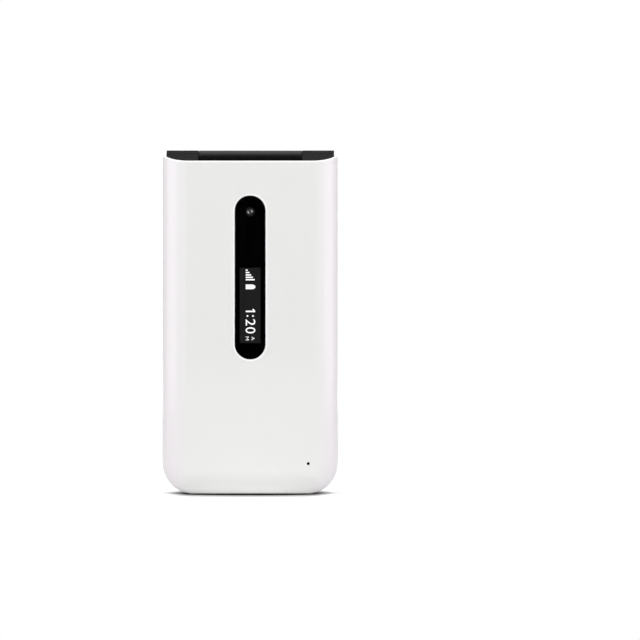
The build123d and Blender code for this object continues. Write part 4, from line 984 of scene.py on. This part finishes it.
def build_inner_parts():
    """Chips on the board, spring contacts, and the battery's pads and polarity marks."""
    for i, (x, z, width, height, depth) in enumerate(chips):
        face = facing_back(board_high.y + depth / 2, x, z)
        place(sheet_mesh([rectangle(0, 0, width, height)], depth, 0.05), f"chip_{i}", "base", face,
              CHIP_BLACK)
        ends = [rectangle(side * (width / 2 + 0.06), 0, chip_end, 0.8 * height) for side in (-1, 1)]
        place(sheet_mesh(ends, chip_end_depth), f"chip_ends_{i}", "base",
              facing_back(board_high.y + chip_end_depth / 2, x, z), STEEL_METAL)
    for i, x in enumerate(contact_x):
        spring = wire_mesh([spring_path], spring_wire, False)
        spring.transform(Matrix.Scale(spring_spread, 4, (1, 0, 0)))
        place(spring, f"battery_spring_{i}", "base", facing_back(spring_y, x, spring_z), GOLD_METAL)
    end = facing_up(battery_high.z, 0, 5.0)
    pads = [rectangle(x, 0, 1.6, 1.8) for x in contact_x]
    place(sheet_mesh(pads), "battery_pads", "base", end, GOLD_METAL)
    top = battery_high.z - 2.7
    signs = [*cross(plus_x, top, plus_half), stroke(minus_x, top, minus_half)]
    marks = [line_mesh(signs, 0.28), line_mesh([wrap_frame], 0.2, True)]
    place(join_meshes(marks), "battery_marks", "base", facing_back(battery_high.y), INK_GREY)


# ---- Studio ----
photo_pixels = 640
pixels_per_mm = 3.006
phone_centre_px = 250.1
phone_bottom_px = 494.0
camera_distance = 1500.0     # from the lid's front face
sensor_width = 36.0
world_fill = 0.5

# From here on in metres, degrees and watts
studio_height = 0.06         # what lamps and cards are aimed at
side_boxes = [("front_box", 48, 7.0), ("back_box", 156, 6.5)]        # azimuth and power
side_elevation, side_distance, side_size = 12, 1.5, (1.0, 1.4)
upper_boxes = [              # elevation, distance, size and power; gloss doesn't mirror them
    ("top_box", 88, 1.3, (1.4, 1.0), 5.0), ("brow_box", 62, 0.5, (0.5, 0.3), 0.6),
]
card_distance = 2.6
card_spans = [               # azimuths and elevations that each card covers
    ("front", (-12, 12), (-1, 88)), ("back", (168, 192), (-1, 40)),
    ("side", (108, 152), (-1, 60)), ("side", (-152, -108), (-1, 60)),
]
floor_width, floor_level = 8.0, -0.00002
floor_bounce = (0.78, 0.78, 0.78, 1)
floor_lift = 0.16            # light of its own that keeps the paper pale near the phone
floor_fade = (0.12, 0.45)    # distances between which the paper turns to the white backdrop
shadow_oval = (0.0305, 0.05, 1.0)   # half axes where the contact shadow has faded
shadow_fade = (0.66, 1.0)    # shares of the oval between which it fades
contact_reach, contact_samples = 0.04, 32
contact_range = (0.62, 0.97)     # openness that reads as black and as white
spill_light = 0.33           # light that the paper throws up under the phone
spill_reach = (0.012, 0.032)


def build_camera():
    """Level view of the lid, framed as in the photograph."""
    view_width = photo_pixels / pixels_per_mm
    data = bpy.data.cameras.new("camera")
    data.sensor_width = sensor_width
    data.lens = camera_distance * sensor_width / view_width
    data.clip_start, data.clip_end = 0.05, 30.0
    camera = new_object("camera", data)
    right = (photo_pixels / 2 - phone_centre_px) / pixels_per_mm
    height = (phone_bottom_px - photo_pixels / 2) / pixels_per_mm
    camera.location = Vector((right, cover_low.y - camera_distance, height)) * MM
    camera.rotation_euler = (radians(90), 0, 0)
    scene.camera = camera


def build_world():
    """White for camera, mirror and glass rays, and an even fill for the rest."""
    world = bpy.data.worlds.new("studio")
    scene.world = world
    world.use_nodes = True
    graph = Graph(world.node_tree)
    background = world.node_tree.nodes["Background"].inputs
    background["Color"].default_value = (1, 1, 1, 1)
    graph.link(graph.ramp(graph.seen_directly(), 0, 1, world_fill, 1.0), background["Strength"])


def floor_paper():
    """Contact shadow that fades to white for what sees the floor; for all other light, paper with a painted
    glow under the phone.
    """
    material = bpy.data.materials.new("floor_paper")
    material.use_nodes = True
    graph = Graph(material.node_tree)
    graph.tree.nodes.remove(graph.tree.nodes["Principled BSDF"])

    def shader(kind, inputs):
        return graph.add(kind, inputs).outputs[0]

    spot = graph.add("TexCoord").outputs["Object"]
    oval = graph.add("VectorMath", {0: spot, 1: shadow_oval}, operation="DIVIDE").outputs[0]
    beyond = graph.ramp(graph.length(oval), *shadow_fade, interpolation_type="SMOOTHSTEP")
    contact = graph.add("AmbientOcclusion", {"Distance": contact_reach}, samples=contact_samples)
    shade = graph.compute("MAXIMUM", graph.ramp(contact.outputs["AO"], *contact_range), beyond)
    lift = shader("Emission", {"Strength": graph.compute("MULTIPLY", shade, floor_lift)})
    near = shader("AddShader", {0: shader("BsdfDiffuse", {"Color": shade}), 1: lift})
    away = graph.length(spot)
    fade = graph.ramp(away, *floor_fade, interpolation_type="SMOOTHSTEP")
    shown = shader("MixShader", {0: fade, 1: near, 2: shader("Emission", {})})
    # Painted glow: the paper gives off light of its own under the phone
    spill = shader("Emission", {"Strength": graph.ramp(away, *spill_reach, spill_light, 0.0)})
    bounce = shader("BsdfDiffuse", {"Color": floor_bounce})
    paper = shader("AddShader", {0: bounce, 1: spill})
    choice = shader("MixShader", {0: graph.seen_directly(), 1: paper, 2: shown})
    graph.link(choice, graph.tree.nodes["Material Output"].inputs["Surface"])
    return material


def stage_piece(name, mesh, material):
    """Part of the studio, which rides on no body."""
    mesh.materials.append(material)
    piece = new_object(name, mesh)
    return piece


def build_floor():
    """Floor a hair below the phone."""
    mesh = bpy.data.meshes.new("floor")
    corners = [(*corner, floor_level) for corner in rectangle(0, 0, floor_width, floor_width)]
    mesh.from_pydata(corners, [], [(0, 1, 2, 3)])
    stage_piece("floor", mesh, floor_paper())


def outward(azimuth, elevation):
    """Direction from the middle of the phone; azimuth 0 is its front."""
    a, e = radians(azimuth), radians(elevation)
    return Vector((sin(a) * cos(e), -cos(a) * cos(e), sin(e)))


def soft_box(name, azimuth, elevation, distance, size, power):
    """Large area lamp aimed at the middle of the phone."""
    data = bpy.data.lights.new(name, "AREA")
    data.shape = "RECTANGLE"
    data.size, data.size_y = size
    data.energy = power
    lamp = new_object(name, data)
    out = outward(azimuth, elevation)
    lamp.location = Vector((0, 0, studio_height)) + out * distance
    lamp.rotation_euler = out.to_track_quat("Z", "Y").to_euler()
    lamp.visible_camera = False
    return lamp


def build_lights():
    """Soft boxes before and behind the phone on both sides, and two above it."""
    for side in (-1, 1):
        for name, azimuth, power in side_boxes:
            soft_box(f"{name}_{side + 1}", side * azimuth, side_elevation, side_distance, side_size, power)
    for name, elevation, distance, size, power in upper_boxes:
        soft_box(name, 0, elevation, distance, size, power).visible_glossy = False


def build_cards():
    """Black cards that only reflections see; they keep gloss deep and draw the edges."""
    black = Shader("card_black", (0.0, 0.0, 0.0), 1.0, specular=0.0).material
    for label, azimuths, elevations in card_spans:
        patch = dome_patch(card_distance, azimuths, elevations)
        card = stage_piece(f"card_{label}_{azimuths[0]}", patch, black)
        card.visible_camera = card.visible_diffuse = card.visible_shadow = False


def dome_patch(radius, azimuths, elevations, steps=12):
    """Part of a sphere round the phone, between two azimuths and elevations."""
    middle = Vector((0, 0, studio_height))
    corners = []
    for i in range(steps + 1):
        for j in range(steps + 1):
            azimuth = azimuths[0] + (azimuths[1] - azimuths[0]) * i / steps
            elevation = elevations[0] + (elevations[1] - elevations[0]) * j / steps
            corners.append(middle + radius * outward(azimuth, elevation))
    starts = [i * (steps + 1) + j for i in range(steps) for j in range(steps)]
    mesh = bpy.data.meshes.new("dome_patch")
    mesh.from_pydata(corners, [], [(k, k + 1, k + steps + 2, k + steps + 1) for k in starts])
    return mesh


# ---- Assembly ----
for build in (dress_nodes, build_window, build_hinge, build_island, build_side, build_legends,
              build_home_screen, build_earpiece, build_inner_parts, build_camera, build_world, build_lights,
              build_floor, build_cards):
    build()
scene.view_settings.view_transform = "Standard"
